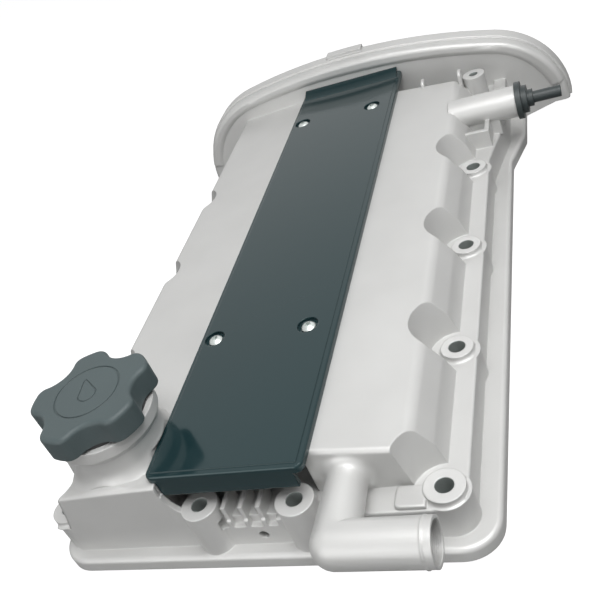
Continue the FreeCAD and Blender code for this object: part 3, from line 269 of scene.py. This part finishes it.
valveLook = {  # black moulding of the breather valve
    "colour": (0.030, 0.040, 0.041), "shade": (0.022, 0.030, 0.031), "roughness": (0.38, 0.5),
    "grain": 800.0, "drift": 1.0, "bump": 0.2, "bumpDeep": 0.2, "soften": 0.35}
rubberLook = {  # seals
    "colour": (0.022, 0.023, 0.024), "shade": (0.014, 0.015, 0.016), "roughness": (0.6, 0.78),
    "grain": 1100.0, "drift": 1.0, "bump": 0.3, "bumpDeep": 0.2}
screwLook = {  # bright zinc
    "colour": (0.60, 0.64, 0.62), "shade": (0.50, 0.53, 0.52), "metallic": 1.0,
    "roughness": (0.32, 0.44), "grain": 700.0, "drift": 1.2, "bump": 0.1, "bumpDeep": 0.1,
    "soften": 0.2}
sheetLook = {  # pressed steel of the baffles
    "colour": (0.55, 0.55, 0.54), "shade": (0.42, 0.42, 0.41), "metallic": 1.0,
    "roughness": (0.3, 0.46), "grain": 260.0, "drift": 1.4, "bump": 0.15, "bumpDeep": 0.1,
    "lines": 55.0}
springLook = {  # drawn wire
    "colour": (0.46, 0.46, 0.45), "shade": (0.34, 0.34, 0.33), "metallic": 1.0,
    "roughness": (0.25, 0.4), "grain": 900.0, "drift": 1.0, "bump": 0.1, "bumpDeep": 0.05,
    "lines": 120.0}

castSilver = newMaterial("castSilver", castLook)
plateBlack = newMaterial("plateBlack", plateLook)
capGrey = newMaterial("capGrey", capLook)
valveBlack = newMaterial("valveBlack", valveLook)
rubberBlack = newMaterial("rubberBlack", rubberLook)
screwBright = newMaterial("screwBright", screwLook)
sheetSteel = newMaterial("sheetSteel", sheetLook)
springSteel = newMaterial("springSteel", springLook)

finishes = {
    "cover_casting": castSilver, "plug_wire_cover": plateBlack,
    "plug_cover_screws": screwBright, "oil_filler_cap": capGrey,
    "oil_cap_seal": rubberBlack, "cover_gasket": rubberBlack,
    "plug_tube_seal_1": rubberBlack, "plug_tube_seal_2": rubberBlack,
    "plug_tube_seal_3": rubberBlack, "plug_tube_seal_4": rubberBlack,
    "baffle_plate_left": sheetSteel, "baffle_plate_right": sheetSteel,
    "baffle_screws_left": screwBright, "baffle_screws_right": screwBright,
    "breather_valve_body": valveBlack, "breather_valve_nozzle": valveBlack,
    "breather_valve_plunger": screwBright, "breather_valve_spring": springSteel,
    "breather_valve_seal": rubberBlack}
for name, material in finishes.items():
    mesh = nodes[name].data
    for index in range(len(mesh.materials)):
        mesh.materials[index] = material
print("materials placed on", len(finishes), "nodes")


# Mesh helpers, with their limits in millimetres, degrees and parts of a unit normal

meshLimits = {"weld": 0.002, "toolWeld": 0.001, "same": 0.01, "long": 1.0,
              "levelNormal": 0.99999, "levelTurn": 1.0, "closingWeld": 0.004,
              "closingSliver": 0.003}


def addObject(name, data):
    item = bpy.data.objects.new(name, data)
    scene.collection.objects.link(item)
    return item


def addPiece(name, shape, material, body, creaseDegrees=35):
    bmesh.ops.remove_doubles(shape, verts=shape.verts, dist=meshLimits["weld"] * mm)
    bmesh.ops.recalc_face_normals(shape, faces=shape.faces)
    for face in shape.faces:
        face.smooth = True
    for edge in shape.edges:
        turn = math.degrees(edge.calc_face_angle()) if edge.is_manifold else 180
        level = any(abs(face.normal.z) > meshLimits["levelNormal"] for face in edge.link_faces)
        edge.smooth = turn < creaseDegrees and not (level and turn > meshLimits["levelTurn"])
    mesh = bpy.data.meshes.new(name)
    shape.to_mesh(mesh)
    shape.free()
    mesh.materials.append(material)
    piece = addObject(name, mesh)
    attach(piece, body)
    return piece


# Adds or cuts one mesh with another by a Boolean modifier and keeps the result
def combine(base, tool, operation):
    bmesh.ops.remove_doubles(tool, verts=tool.verts, dist=meshLimits["toolWeld"] * mm)
    bmesh.ops.recalc_face_normals(tool, faces=tool.faces)
    meshes = []
    for shape in (base, tool):
        mesh = bpy.data.meshes.new("combined")
        shape.to_mesh(mesh)
        shape.free()
        meshes.append(addObject("combined", mesh))
    modifier = meshes[0].modifiers.new("combine", "BOOLEAN")
    modifier.operation = operation
    modifier.solver = "EXACT"
    modifier.object = meshes[1]
    graph = bpy.context.evaluated_depsgraph_get()
    result = bmesh.new()
    result.from_object(meshes[0], graph)
    for item in meshes:
        mesh = item.data
        bpy.data.objects.remove(item)
        bpy.data.meshes.remove(mesh)
    return result


def nodeCopy(name):
    shape = bmesh.new()
    shape.from_mesh(nodes[name].data)
    bmesh.ops.remove_doubles(shape, verts=shape.verts, dist=meshLimits["toolWeld"] * mm)
    return shape


# Adds a mesh to another without joining them, and frees it
def absorb(target, part):
    mesh = bpy.data.meshes.new("part")
    part.to_mesh(mesh)
    part.free()
    target.from_mesh(mesh)
    bpy.data.meshes.remove(mesh)


def countOpen(shape):
    return sum(not edge.is_manifold for edge in shape.edges)


def moveBy(shape, place, verts=None):
    bmesh.ops.translate(shape, verts=verts or shape.verts, vec=Vector(place) * mm)


def quarterTurn(shape, axis, verts=None):
    bmesh.ops.rotate(shape, verts=verts or shape.verts,
                     matrix=Matrix.Rotation(math.pi / 2, 3, axis))


def addBox(shape, low, high):
    low, high = Vector(low), Vector(high)
    verts = bmesh.ops.create_cube(shape, size=1)["verts"]
    bmesh.ops.scale(shape, verts=verts, vec=(high - low) * mm)
    bmesh.ops.translate(shape, verts=verts, vec=(high + low) / 2 * mm)


def addCone(shape, lowRadius, highRadius, depth, steps):
    return bmesh.ops.create_cone(shape, cap_ends=True, cap_tris=False, segments=steps,
                                 radius1=lowRadius * mm, radius2=highRadius * mm,
                                 depth=depth * mm)["verts"]


def roundEdges(shape, edges, radius, steps):
    bmesh.ops.bevel(shape, geom=edges, offset=radius * mm, offset_type="OFFSET",
                    affect="EDGES", segments=steps, profile=0.5, material=-1)


def closedProfile(shape, spots):
    corners = [shape.verts.new(Vector(spot)) for spot in spots]
    sides = [shape.edges.new((corners[i - 1], corners[i])) for i in range(len(corners))]
    return corners + sides


# A ring from a closed profile of (radius, height), turned about the Z axis
def turnedRing(shape, profile, steps):
    start = closedProfile(shape, [(radius * mm, 0, height * mm) for radius, height in profile])
    bmesh.ops.spin(shape, geom=start, cent=(0, 0, 0), axis=(0, 0, 1), dvec=(0, 0, 0),
                   angle=math.tau, steps=steps, use_merge=True, use_duplicate=False)


# Keeps what lies behind a plane and closes the cut
def cutFlat(shape, place, facing):
    everything = shape.verts[:] + shape.edges[:] + shape.faces[:]
    bmesh.ops.bisect_plane(shape, geom=everything, plane_co=Vector(place) * mm,
                           plane_no=facing, clear_outer=True)
    openEdges = [edge for edge in shape.edges if edge.is_boundary]
    bmesh.ops.holes_fill(shape, edges=openEdges, sides=0)


# Cast fillets at the feet of the round bosses

coves = {
    "ledgeHeight": 25.0, "size": 1.7, "bends": 5, "buried": 0.3, "steps": 48,
    "ringRadius": 8.2, "cornerRadius": 9.3, "leftLimit": -105.6, "rightLimit": 101.2,
    "frontRadius": 9.3, "frontLimit": -138.6, "towerRadius": 7.7}


def coveProfile(radius):
    size, bends, buried = coves["size"], coves["bends"], coves["buried"]
    arc = [(radius + size - size * math.sin(math.pi / 2 * i / bends),
            size - size * math.cos(math.pi / 2 * i / bends)) for i in range(bends + 1)]
    return arc + [(radius - buried, size), (radius - buried, -buried), (radius + size, -buried)]


def addCove(target, place, radius, limitAt=None, limitFacing=None):
    ring = bmesh.new()
    turnedRing(ring, coveProfile(radius), coves["steps"])
    moveBy(ring, (*place, coves["ledgeHeight"]))
    if limitAt is not None:
        cutFlat(ring, limitAt, limitFacing)
    absorb(target, ring)


def buildCoves():
    shape = bmesh.new()
    for index, y in enumerate(bolts["rows"]):
        radius = coves["cornerRadius"] if index == 0 else coves["ringRadius"]
        addCove(shape, (bolts["left"], y), radius, (coves["leftLimit"], 0, 0), (-1, 0, 0))
        addCove(shape, (bolts["right"], y), radius, (coves["rightLimit"], 0, 0), (1, 0, 0))
    for place in bolts["front"]:
        addCove(shape, place, coves["frontRadius"], (0, coves["frontLimit"], 0), (0, -1, 0))
    addCove(shape, bolts["tower"], coves["towerRadius"])
    return shape


# Floors over the ledge's slots between bolt rings and scalloped walls, at the rows listed

scallopFloors = {
    "low": 21.2, "high": 24.96, "steps": 72, "frontLimit": -137.0,
    "right": {"x": bolts["right"], "inner": 9.6, "outer": 15.4, "limit": 90.4, "facing": 1,
              "rows": bolts["rows"]},
    "left": {"x": bolts["left"], "inner": 8.8, "outer": 12.8, "limit": -98.6, "facing": -1,
             "rows": bolts["rows"][1:]}}


def buildScallopFloors():
    shape = bmesh.new()
    low, high = scallopFloors["low"], scallopFloors["high"]
    for side in (scallopFloors["right"], scallopFloors["left"]):
        for y in side["rows"]:
            ring = bmesh.new()
            profile = [(side["inner"], low), (side["outer"], low),
                       (side["outer"], high), (side["inner"], high)]
            turnedRing(ring, profile, scallopFloors["steps"])
            moveBy(ring, (side["x"], y, 0))
            cutFlat(ring, (side["limit"], 0, 0), (side["facing"], 0, 0))
            cutFlat(ring, (0, scallopFloors["frontLimit"], 0), (0, -1, 0))
            absorb(shape, ring)
    return shape


# The turned rings just inside the mouth of the breather pipe

pipeAxis = {"y": -162.0, "z": 34.8}
mouth = {"from": 90.6, "to": 94.1, "boreRadius": 9.0, "rise": 0.45, "buried": 0.4,
         "rings": 4, "footShare": 0.9, "crestShare": 0.5, "steps": 100}


def buildMouthRings():
    shape = bmesh.new()
    step = (mouth["to"] - mouth["from"]) / mouth["rings"]
    outer = mouth["boreRadius"] + mouth["buried"]
    inner = mouth["boreRadius"] - mouth["rise"]
    for index in range(mouth["rings"]):
        begin = mouth["from"] + index * step
        profile = [(outer, begin), (outer, begin + step * mouth["footShare"]),
                   (inner, begin + step * mouth["crestShare"])]
        turnedRing(shape, profile, mouth["steps"])
    quarterTurn(shape, "Y")
    moveBy(shape, (0, pipeAxis["y"], pipeAxis["z"]))
    return shape


# A raised collar round the pipe just behind its mouth

collar = {"from": 89.4, "to": 91.4, "pipeRadius": 10.4, "rise": 0.35, "buried": 0.25,
          "ease": 0.7, "frontLimit": -172.37, "steps": 96}


def buildCollar():
    shape = bmesh.new()
    inner = collar["pipeRadius"] - collar["buried"]
    outer = collar["pipeRadius"] + collar["rise"]
    begin, end, ease = collar["from"], collar["to"], collar["ease"]
    profile = [(inner, begin), (outer, begin + ease), (outer, end - ease), (inner, end)]
    turnedRing(shape, profile, collar["steps"])
    quarterTurn(shape, "Y")
    moveBy(shape, (0, pipeAxis["y"], pipeAxis["z"]))
    cutFlat(shape, (0, collar["frontLimit"], 0), (0, -1, 0))
    return shape


# The left bank's front face runs down to the ledge's wall in one plane, under a round edge

leftFace = {"front": -139.84, "back": -134.2, "cover": -137.3, "foot": 21.6,
            "valleySide": -34.95, "outerSide": -99.0, "columns": 40,
            "roofAtValley": 51.0, "roofSlope": 0.061, "slopeFrom": -39.4, "proud": 0.03,
            "edgeRound": 2.0, "edgeSteps": 6, "neckAt": -62.0, "neckHalf": 17.0,
            "neckRise": 3.1, "neckPower": 1.5, "swellFade": 2, "wall": 1.6,
            "scallopLow": (20.0, 10.87), "scallopHigh": (56.0, 15.66), "scallopSteps": 128}


def leftRoof(x):
    return leftFace["roofAtValley"] - leftFace["roofSlope"] * max(leftFace["slopeFrom"] - x, 0)


# Turns the bank's upper front corner: (y, z) of the sheet at one place across the bank
def leftFaceOutline(x):
    roof = leftRoof(x)
    near = max(1 - ((x - leftFace["neckAt"]) / leftFace["neckHalf"]) ** 2, 0)
    swell = roof + leftFace["neckRise"] * near ** leftFace["neckPower"] + leftFace["proud"]
    bend = leftFace["edgeRound"]
    arc = []
    for index in range(leftFace["edgeSteps"] + 1):
        angle = math.pi / 2 * index / leftFace["edgeSteps"]
        ahead = leftFace["front"] + bend - bend * math.sin(angle)
        height = roof + leftFace["proud"] - bend + bend * math.cos(angle)
        share = max((leftFace["cover"] - ahead) / (leftFace["cover"] - leftFace["front"]), 0)
        fade = max(1 - share * leftFace["swellFade"], 0)
        arc.append((ahead, height + (swell - roof) * fade))
    return [(leftFace["back"], swell)] + arc + [(leftFace["front"], leftFace["foot"])]


def buildLeftFace():
    shape = bmesh.new()
    rows = leftFace["edgeSteps"] + 3
    step = (leftFace["valleySide"] - leftFace["outerSide"]) / leftFace["columns"]
    first = [shape.verts.new(Vector((leftFace["outerSide"], y, z)) * mm)
             for y, z in leftFaceOutline(leftFace["outerSide"])]
    edges = [shape.edges.new(first[i:i + 2]) for i in range(rows - 1)]
    for column in range(1, leftFace["columns"] + 1):
        grown = bmesh.ops.extrude_edge_only(shape, edges=edges)["geom"]
        edges = [item for item in grown if isinstance(item, bmesh.types.BMEdge)]
        moved = [item for item in grown if isinstance(item, bmesh.types.BMVert)]
        x = leftFace["outerSide"] + step * column
        outline = leftFaceOutline(x)
        previous = leftFaceOutline(x - step)
        for vert in moved:
            row = min(range(rows), key=lambda i: abs(vert.co.y / mm - previous[i][0])
                      + abs(vert.co.z / mm - previous[i][1]))
            vert.co = Vector((x, *outline[row])) * mm
    bmesh.ops.recalc_face_normals(shape, faces=shape.faces)
    middle = shape.faces[len(shape.faces) // 2]
    if middle.normal.z - middle.normal.y < 0:
        bmesh.ops.reverse_faces(shape, faces=shape.faces)
    bmesh.ops.solidify(shape, geom=shape.faces, thickness=leftFace["wall"] * mm)
    bmesh.ops.recalc_face_normals(shape, faces=shape.faces)
    (lowZ, lowRadius), (highZ, highRadius) = leftFace["scallopLow"], leftFace["scallopHigh"]
    cone = bmesh.new()
    addCone(cone, lowRadius, highRadius, highZ - lowZ, leftFace["scallopSteps"])
    moveBy(cone, (bolts["left"], bolts["rows"][0], (lowZ + highZ) / 2))
    shape = combine(shape, cone, "DIFFERENCE")
    loose = [vert for vert in shape.verts if vert.co.x < bolts["left"] * mm]
    bmesh.ops.delete(shape, geom=loose, context="VERTS")
    return shape


# A web with a hollow top joins the left bank to the first front boss

web = {"from": -35.6, "to": -22.0, "front": -139.78, "back": -136.6, "low": 21.9, "high": 44.0,
       "hollowAt": (-18.6, 44.6), "hollowRadius": 15.6, "hollowDepth": 12.0, "hollowSteps": 96}


def buildWeb():
    shape = bmesh.new()
    addBox(shape, (web["from"], web["front"], web["low"]),
           (web["to"], web["back"], web["high"]))
    hollow = bmesh.new()
    addCone(hollow, web["hollowRadius"], web["hollowRadius"], web["hollowDepth"],
            web["hollowSteps"])
    quarterTurn(hollow, "X")
    hollowX, hollowZ = web["hollowAt"]
    moveBy(hollow, (hollowX, (web["front"] + web["back"]) / 2, hollowZ))
    return combine(shape, hollow, "DIFFERENCE")


# The low pad beside the front corner's bolt ring

pad = {"from": 71.5, "to": 85.4, "front": -138.6, "back": -126.6, "foot": 24.6, "top": 27.0,
       "corner": 2.6, "cornerSteps": 6, "round": 1.0, "roundSteps": 4}


def buildPad():
    shape = bmesh.new()
    addBox(shape, (pad["from"], pad["front"], pad["foot"]),
           (pad["to"], pad["back"], pad["top"]))
    middle = (pad["from"] + pad["to"]) / 2
    uprights = [edge for edge in shape.edges
                if abs(edge.verts[0].co.z - edge.verts[1].co.z) > meshLimits["long"] * mm
                and edge.verts[0].co.x < middle * mm]
    roundEdges(shape, uprights, pad["corner"], pad["cornerSteps"])
    upper = (pad["top"] - meshLimits["same"]) * mm
    topEdges = [edge for edge in shape.edges if min(vert.co.z for vert in edge.verts) > upper]
    roundEdges(shape, topEdges, pad["round"], pad["roundSteps"])
    return shape


# Rounded tips on the two cable hooks behind the right bank

hooks = {"places": (57.7, 84.1), "thick": 2.36, "y": 222.5, "wide": 8.94, "top": 51.5,
         "rise": 2.6, "sink": 0.05, "steps": 32, "round": 0.6, "roundSteps": 2}


def buildHookTips():
    shape = bmesh.new()
    for x in hooks["places"]:
        radius = hooks["wide"] / 2
        verts = addCone(shape, radius, radius, hooks["thick"], hooks["steps"])
        quarterTurn(shape, "Y", verts)
        bmesh.ops.scale(shape, verts=verts, vec=(1, 1, hooks["rise"] / radius))
        moveBy(shape, (x, hooks["y"], hooks["top"] - hooks["sink"]), verts)
    outlines = [edge for edge in shape.edges
                if abs(edge.verts[0].co.x - edge.verts[1].co.x) < meshLimits["same"] * mm]
    roundEdges(shape, outlines, hooks["round"], hooks["roundSteps"])
    return shape


# The rolled front edge of the timing-end arch

archRoll = {"face": 248.1, "rolls": ((3.6, 1.5, 0.4), (4.4, 1.9, 2.8)), "centre": (5.3, 12.0),
            "lowest": 14.0, "bevelSteps": 4, "nearFace": 0.03, "flatNormal": -0.999,
            "bentNormal": -0.998, "outward": 0.02}


# Places along the outer rim of the arch's flat front face, in order round the arch
def archRim():
    shape = nodeCopy("cover_casting")
    middleX, middleZ = archRoll["centre"]
    found = {}
    for edge in shape.edges:
        spots = [vert.co / mm for vert in edge.verts]
        if any(abs(spot.y - archRoll["face"]) > archRoll["nearFace"]
               or spot.z < archRoll["lowest"] for spot in spots) or len(edge.link_faces) != 2:
            continue
        flat = [face for face in edge.link_faces if face.normal.y < archRoll["flatNormal"]]
        bent = [face for face in edge.link_faces if face.normal.y > archRoll["bentNormal"]]
        if len(flat) != 1 or len(bent) != 1:
            continue
        for spot in spots:
            outward = Vector((spot.x - middleX, 0, spot.z - middleZ)).normalized()
            behind = bent[0].calc_center_median().y / mm > archRoll["face"]
            if behind and bent[0].normal.dot(outward) > archRoll["outward"]:
                angle = math.atan2(spot.z - middleZ, spot.x - middleX)
                found[round(angle, 4)] = spot.copy()
    shape.free()
    return [found[angle] for angle in sorted(found)]


# One roll along the rim, from its radius, how far it stands ahead and how far it sinks in
def archTube(path, radius, ahead, sink):
    middleX, middleZ = archRoll["centre"]
    curve = bpy.data.curves.new("archRoll", "CURVE")
    curve.dimensions = "3D"
    curve.bevel_depth = radius * mm
    curve.bevel_resolution = archRoll["bevelSteps"]
    curve.use_fill_caps = True
    spline = curve.splines.new("POLY")
    spline.points.add(len(path) - 1)
    for point, spot in zip(spline.points, path):
        inward = Vector((middleX - spot.x, 0, middleZ - spot.z)).normalized()
        place = spot + inward * sink
        place.y = archRoll["face"] + radius - ahead
        point.co = (*(place * mm), 1)
    roll = addObject("archRoll", curve)
    mesh = bpy.data.meshes.new_from_object(roll)
    shape = bmesh.new()
    shape.from_mesh(mesh)
    bpy.data.objects.remove(roll)
    bpy.data.curves.remove(curve)
    bpy.data.meshes.remove(mesh)
    return shape


def buildArchRoll():
    path = archRim()
    upper, lower = [archTube(path, *sizes) for sizes in archRoll["rolls"]]
    bmesh.ops.remove_doubles(upper, verts=upper.verts, dist=meshLimits["toolWeld"] * mm)
    return combine(upper, lower, "UNION")


# Notches between the fins in the valley's front wall

notches = {"finsAt": (-7.3, 1.5, 10.3), "finHalf": 1.1, "from": -13.6, "to": 16.6,
           "front": -141.0, "back": -136.9, "low": 20.2, "high": 25.6, "round": 0.9,
           "roundSteps": 4}


def buildNotches():
    shape = bmesh.new()
    starts = [notches["from"]] + [x + notches["finHalf"] for x in notches["finsAt"]]
    ends = [x - notches["finHalf"] for x in notches["finsAt"]] + [notches["to"]]
    for start, end in zip(starts, ends):
        addBox(shape, (start, notches["front"], notches["low"]),
               (end, notches["back"], notches["high"]))
    bottom = (notches["low"] + meshLimits["long"]) * mm
    lengthwise = [edge for edge in shape.edges
                  if abs(edge.verts[0].co.y - edge.verts[1].co.y) > meshLimits["long"] * mm
                  and edge.verts[0].co.z < bottom]
    roundEdges(shape, lengthwise, notches["round"], notches["roundSteps"])
    return shape


# The plate's lowered rim, one step down from its polished face

rim = {"half": 39.4, "front": -136.9, "rear": 232.0, "top": 55.4, "deep": 0.55, "wide": 2.7,
       "past": 2.0, "above": 2.0, "overlap": 0.5}


def buildRimCutter():
    shape = bmesh.new()
    outer, inner = rim["half"] + rim["past"], rim["half"] - rim["wide"]
    front = rim["front"] - rim["past"]
    across = inner + rim["overlap"]
    spans = (((-outer, front), (-inner, rim["rear"])), ((inner, front), (outer, rim["rear"])),
             ((-across, front), (across, rim["front"] + rim["wide"])))
    for near, far in spans:
        strip = bmesh.new()
        addBox(strip, (*near, rim["top"] - rim["deep"]), (*far, rim["top"] + rim["above"]))
        shape = combine(shape, strip, "UNION") if len(shape.faces) else strip
    return shape


def buildPlate():
    shape = combine(nodeCopy("plug_wire_cover"), buildRimCutter(), "DIFFERENCE")
    print("plate -", len(shape.faces), "faces,", countOpen(shape), "open edges")
    plate = addPiece("plug_wire_cover_finished", shape, plateBlack, "cover", 30)
    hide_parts("plug_wire_cover")


buildPlate()


# The screw thread between the cap's stem and the filler neck

thread = {"x": -62.1, "y": -111.4, "pitch": 8.0, "stemRadius": 18.4, "neckRadius": 20.0,
          "stand": 1.1, "root": 2.4, "crest": 1.1, "capFrom": 62.4, "capTurns": 1.1,
          "neckFrom": 62.6, "neckTurns": 1.1, "stepsPerTurn": 64, "buried": 0.2,
          "runOut": 0.9}


def threadRidge(shape, innerRadius, outerRadius, rootWide, crestWide, height, startTurn, turns):
    spots = [(innerRadius, 0, -rootWide / 2), (outerRadius, 0, -crestWide / 2),
             (outerRadius, 0, crestWide / 2), (innerRadius, 0, rootWide / 2)]
    corners = [shape.verts.new(Vector(spot) * mm) for spot in spots]
    start = shape.faces.new(corners)
    bmesh.ops.rotate(shape, verts=corners, matrix=Matrix.Rotation(startTurn * math.tau, 3, "Z"))
    steps = round(turns * thread["stepsPerTurn"])
    rise = Vector((0, 0, thread["pitch"] * turns / steps)) * mm
    swept = bmesh.ops.spin(shape, geom=[start], cent=(0, 0, 0), axis=(0, 0, 1), dvec=rise,
                           angle=math.tau * turns, steps=steps, use_merge=False,
                           use_duplicate=False)
    last = [item for item in swept["geom_last"] if isinstance(item, bmesh.types.BMVert)]
    for end in (corners, last):
        middle = sum((vert.co for vert in end), Vector()) / len(end)
        flat = Vector((middle.x, middle.y, 0)).normalized()
        for vert in end:  # each end runs out into the wall that carries it
            reach = vert.co.x * flat.x + vert.co.y * flat.y
            vert.co += flat * (innerRadius * mm - reach) * thread["runOut"]
    moveBy(shape, (thread["x"], thread["y"], height))


def buildStemThread():
    onStem = bmesh.new()
    threadRidge(onStem, thread["stemRadius"] - thread["buried"],
                thread["stemRadius"] + thread["stand"], thread["root"], thread["crest"],
                thread["capFrom"], 0.0, thread["capTurns"])
    addPiece("oil_cap_thread", onStem, capGrey, "cap")


def buildNeckThread():
    inNeck = bmesh.new()
    lead = (thread["neckFrom"] - thread["capFrom"]) / thread["pitch"]
    threadRidge(inNeck, thread["neckRadius"] + thread["buried"],
                thread["neckRadius"] - thread["stand"], thread["root"], thread["crest"],
                thread["neckFrom"], lead + 0.5, thread["neckTurns"])
    return inNeck


buildStemThread()


# The casting with its finer forms joined on and cut in

castForms = (
    ("scallop floors", buildScallopFloors, "UNION"),
    ("boss fillets", buildCoves, "UNION"),
    ("mouth rings", buildMouthRings, "UNION"),
    ("pipe collar", buildCollar, "UNION"),
    ("left front face", buildLeftFace, "UNION"),
    ("valley web", buildWeb, "UNION"),
    ("corner pad", buildPad, "UNION"),
    ("arch roll", buildArchRoll, "UNION"),
    ("hook tips", buildHookTips, "UNION"),
    ("neck thread", buildNeckThread, "UNION"),
    ("fin notches", buildNotches, "DIFFERENCE"))


def buildCasting():
    shape = nodeCopy("cover_casting")
    for name, build, operation in castForms:
        shape = combine(shape, build(), operation)
        print("casting,", name, "-", len(shape.faces), "faces,", countOpen(shape), "open edges")
    bmesh.ops.remove_doubles(shape, verts=shape.verts, dist=meshLimits["closingWeld"] * mm)
    bmesh.ops.dissolve_degenerate(shape, edges=shape.edges,
                                  dist=meshLimits["closingSliver"] * mm)
    slits = [edge for edge in shape.edges if edge.is_boundary]
    bmesh.ops.holes_fill(shape, edges=slits, sides=0)
    print("casting closed -", len(shape.faces), "faces,", countOpen(shape), "open edges")
    casting = addPiece("cover_casting_finished", shape, castSilver, "cover", 32)
    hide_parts("cover_casting")


buildCasting()


# The cap with a plain drop cut into its top

drop = {"top": 89.5, "deep": 0.45, "above": 1.0, "line": 0.7, "radius": 4.6, "tip": 11.5,
        "tipGrowth": 1.6, "tipPower": 3, "narrowing": 0.35, "turn": 28.0, "back": 2.2,
        "corners": 56}


def dropSolid(grow):
    shape = bmesh.new()
    radius, tip = drop["radius"] + grow, drop["tip"] + grow * drop["tipGrowth"]
    made = bmesh.ops.create_circle(shape, cap_ends=True, segments=drop["corners"],
                                   radius=radius * mm)
    for vert in made["verts"]:  # the upper half is drawn out to a point
        lift = max(vert.co.y / (radius * mm), 0)
        vert.co.y += (tip - radius) * mm * lift ** drop["tipPower"]
        vert.co.x *= 1 - drop["narrowing"] * lift ** 2
    raised = bmesh.ops.extrude_face_region(shape, geom=shape.faces[:], use_keep_orig=True)
    upper = [item for item in raised["geom"] if isinstance(item, bmesh.types.BMVert)]
    moveBy(shape, (0, 0, drop["deep"] + drop["above"]), upper)
    bmesh.ops.recalc_face_normals(shape, faces=shape.faces)
    moveBy(shape, (0, -drop["back"], 0))
    bmesh.ops.rotate(shape, verts=shape.verts,
                     matrix=Matrix.Rotation(math.radians(drop["turn"]), 3, "Z"))
    moveBy(shape, (thread["x"], thread["y"], drop["top"] - drop["deep"]))
    return shape


def buildCap():
    line = combine(dropSolid(drop["line"] / 2), dropSolid(-drop["line"] / 2), "DIFFERENCE")
    shape = combine(nodeCopy("oil_filler_cap"), line, "DIFFERENCE")
    cap = addPiece("oil_cap_with_drop", shape, capGrey, "cap", 30)
    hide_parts("oil_filler_cap")


buildCap()
print("cap thread and mark built")


# The breather valve's spring, copied into a piece with a mesh of its own


def buildSpring():
    shape = nodeCopy("breather_valve_spring")
    wire = addPiece("breather_valve_spring_coil", shape, springSteel, "cover",
                    60)
    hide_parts("breather_valve_spring")
    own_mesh(wire)


buildSpring()


# The floor, the world and the lamps

stageLook = {"floorHeight": -1.05, "floorSize": 12.0, "floorColour": (0.3, 0.3, 0.3),
             "floorGlow": 0.92, "floorRoughness": 0.9, "floorShine": 0.1, "skyLight": 0.13,
             "skyColour": (1.0, 1.0, 1.0)}


# 1 for rays that should see a white background, 0 for rays that light the object
def seenDirectly(tree, rays):
    path = tree.nodes.new("ShaderNodeLightPath")
    seen = path.outputs["Is Camera Ray"]
    for ray in rays:
        seen = addMath(tree, "MAXIMUM", seen, path.outputs[ray])
    return seen


def buildFloor():
    shape = bmesh.new()
    bmesh.ops.create_grid(shape, x_segments=1, y_segments=1, size=stageLook["floorSize"] / 2)
    moveBy(shape, (0, 0, stageLook["floorHeight"]))
    mesh = bpy.data.meshes.new("floor")
    shape.to_mesh(mesh)
    shape.free()
    floor = addObject("floor", mesh)
    material = bpy.data.materials.new("floorPaper")
    material.use_nodes = True
    tree = material.node_tree
    shader = tree.nodes["Principled BSDF"]
    shader.inputs["Base Color"].default_value = (*stageLook["floorColour"], 1)
    shader.inputs["Roughness"].default_value = stageLook["floorRoughness"]
    shader.inputs["Specular IOR Level"].default_value = stageLook["floorShine"]
    shader.inputs["Emission Color"].default_value = (1, 1, 1, 1)
    glow = addMath(tree, "MULTIPLY", seenDirectly(tree, ["Is Transmission Ray"]),
                   stageLook["floorGlow"])
    tree.links.new(glow, shader.inputs["Emission Strength"])
    mesh.materials.append(material)


def buildWorld():
    world = bpy.data.worlds.new("studio")
    scene.world = world
    world.use_nodes = True
    tree = world.node_tree
    background = tree.nodes["Background"]
    background.inputs["Color"].default_value = (*stageLook["skyColour"], 1)
    seen = seenDirectly(tree, ["Is Glossy Ray", "Is Transmission Ray"])
    strength = remap(tree, seen, stageLook["skyLight"], 1.0)
    tree.links.new(strength, background.inputs["Strength"])


lamps = {
    "near": {"place": (0.24, -0.2, 0.7), "size": 0.5, "power": 4.9},
    "overhead": {"place": (0.45, -0.15, 1.3), "size": 1.1, "power": 2.6},
    "rear": {"place": (0.25, 1.5, 0.95), "size": 0.8, "power": 1.0},
    "front": {"place": (-0.4, -1.1, 0.25), "size": 0.9, "power": 4.8}}


def buildLamps():
    for name, lamp in lamps.items():
        data = bpy.data.lights.new(name, "AREA")
        data.shape = "SQUARE"
        data.size = lamp["size"]
        data.energy = lamp["power"]
        light = addObject(name, data)
        light.location = lamp["place"]
        light.rotation_euler = (-Vector(lamp["place"])).to_track_quat("-Z", "Y").to_euler()


buildFloor()
buildWorld()
buildLamps()
print("studio built")


# The camera stands where the photograph was taken from

view = {"place": (178.7, -355.3, 300.4), "azimuth": -29.29, "elevation": 33.16,
        "roll": -26.17, "focalPixels": 837.62, "middlePixels": (264.29, 314.11),
        "framePixels": 600, "sensor": 36.0, "nearest": 0.01, "farthest": 50.0}


def buildCamera():
    data = bpy.data.cameras.new("photoCamera")
    data.sensor_width = view["sensor"]
    data.lens = view["focalPixels"] / view["framePixels"] * view["sensor"]
    half = view["framePixels"] / 2
    data.shift_x = (half - view["middlePixels"][0]) / view["framePixels"]
    data.shift_y = (view["middlePixels"][1] - half) / view["framePixels"]
    data.clip_start = view["nearest"]
    data.clip_end = view["farthest"]
    camera = addObject("photoCamera", data)
    azimuth, elevation = math.radians(view["azimuth"]), math.radians(view["elevation"])
    ahead = Vector((math.cos(elevation) * math.sin(azimuth),
                    math.cos(elevation) * math.cos(azimuth), -math.sin(elevation)))
    camera.location = Vector(view["place"]) * mm
    camera.rotation_mode = "QUATERNION"
    level = ahead.to_track_quat("-Z", "Y")
    camera.rotation_quaternion = level @ Quaternion((0, 0, 1), math.radians(view["roll"]))
    scene.camera = camera


buildCamera()
print("camera placed")
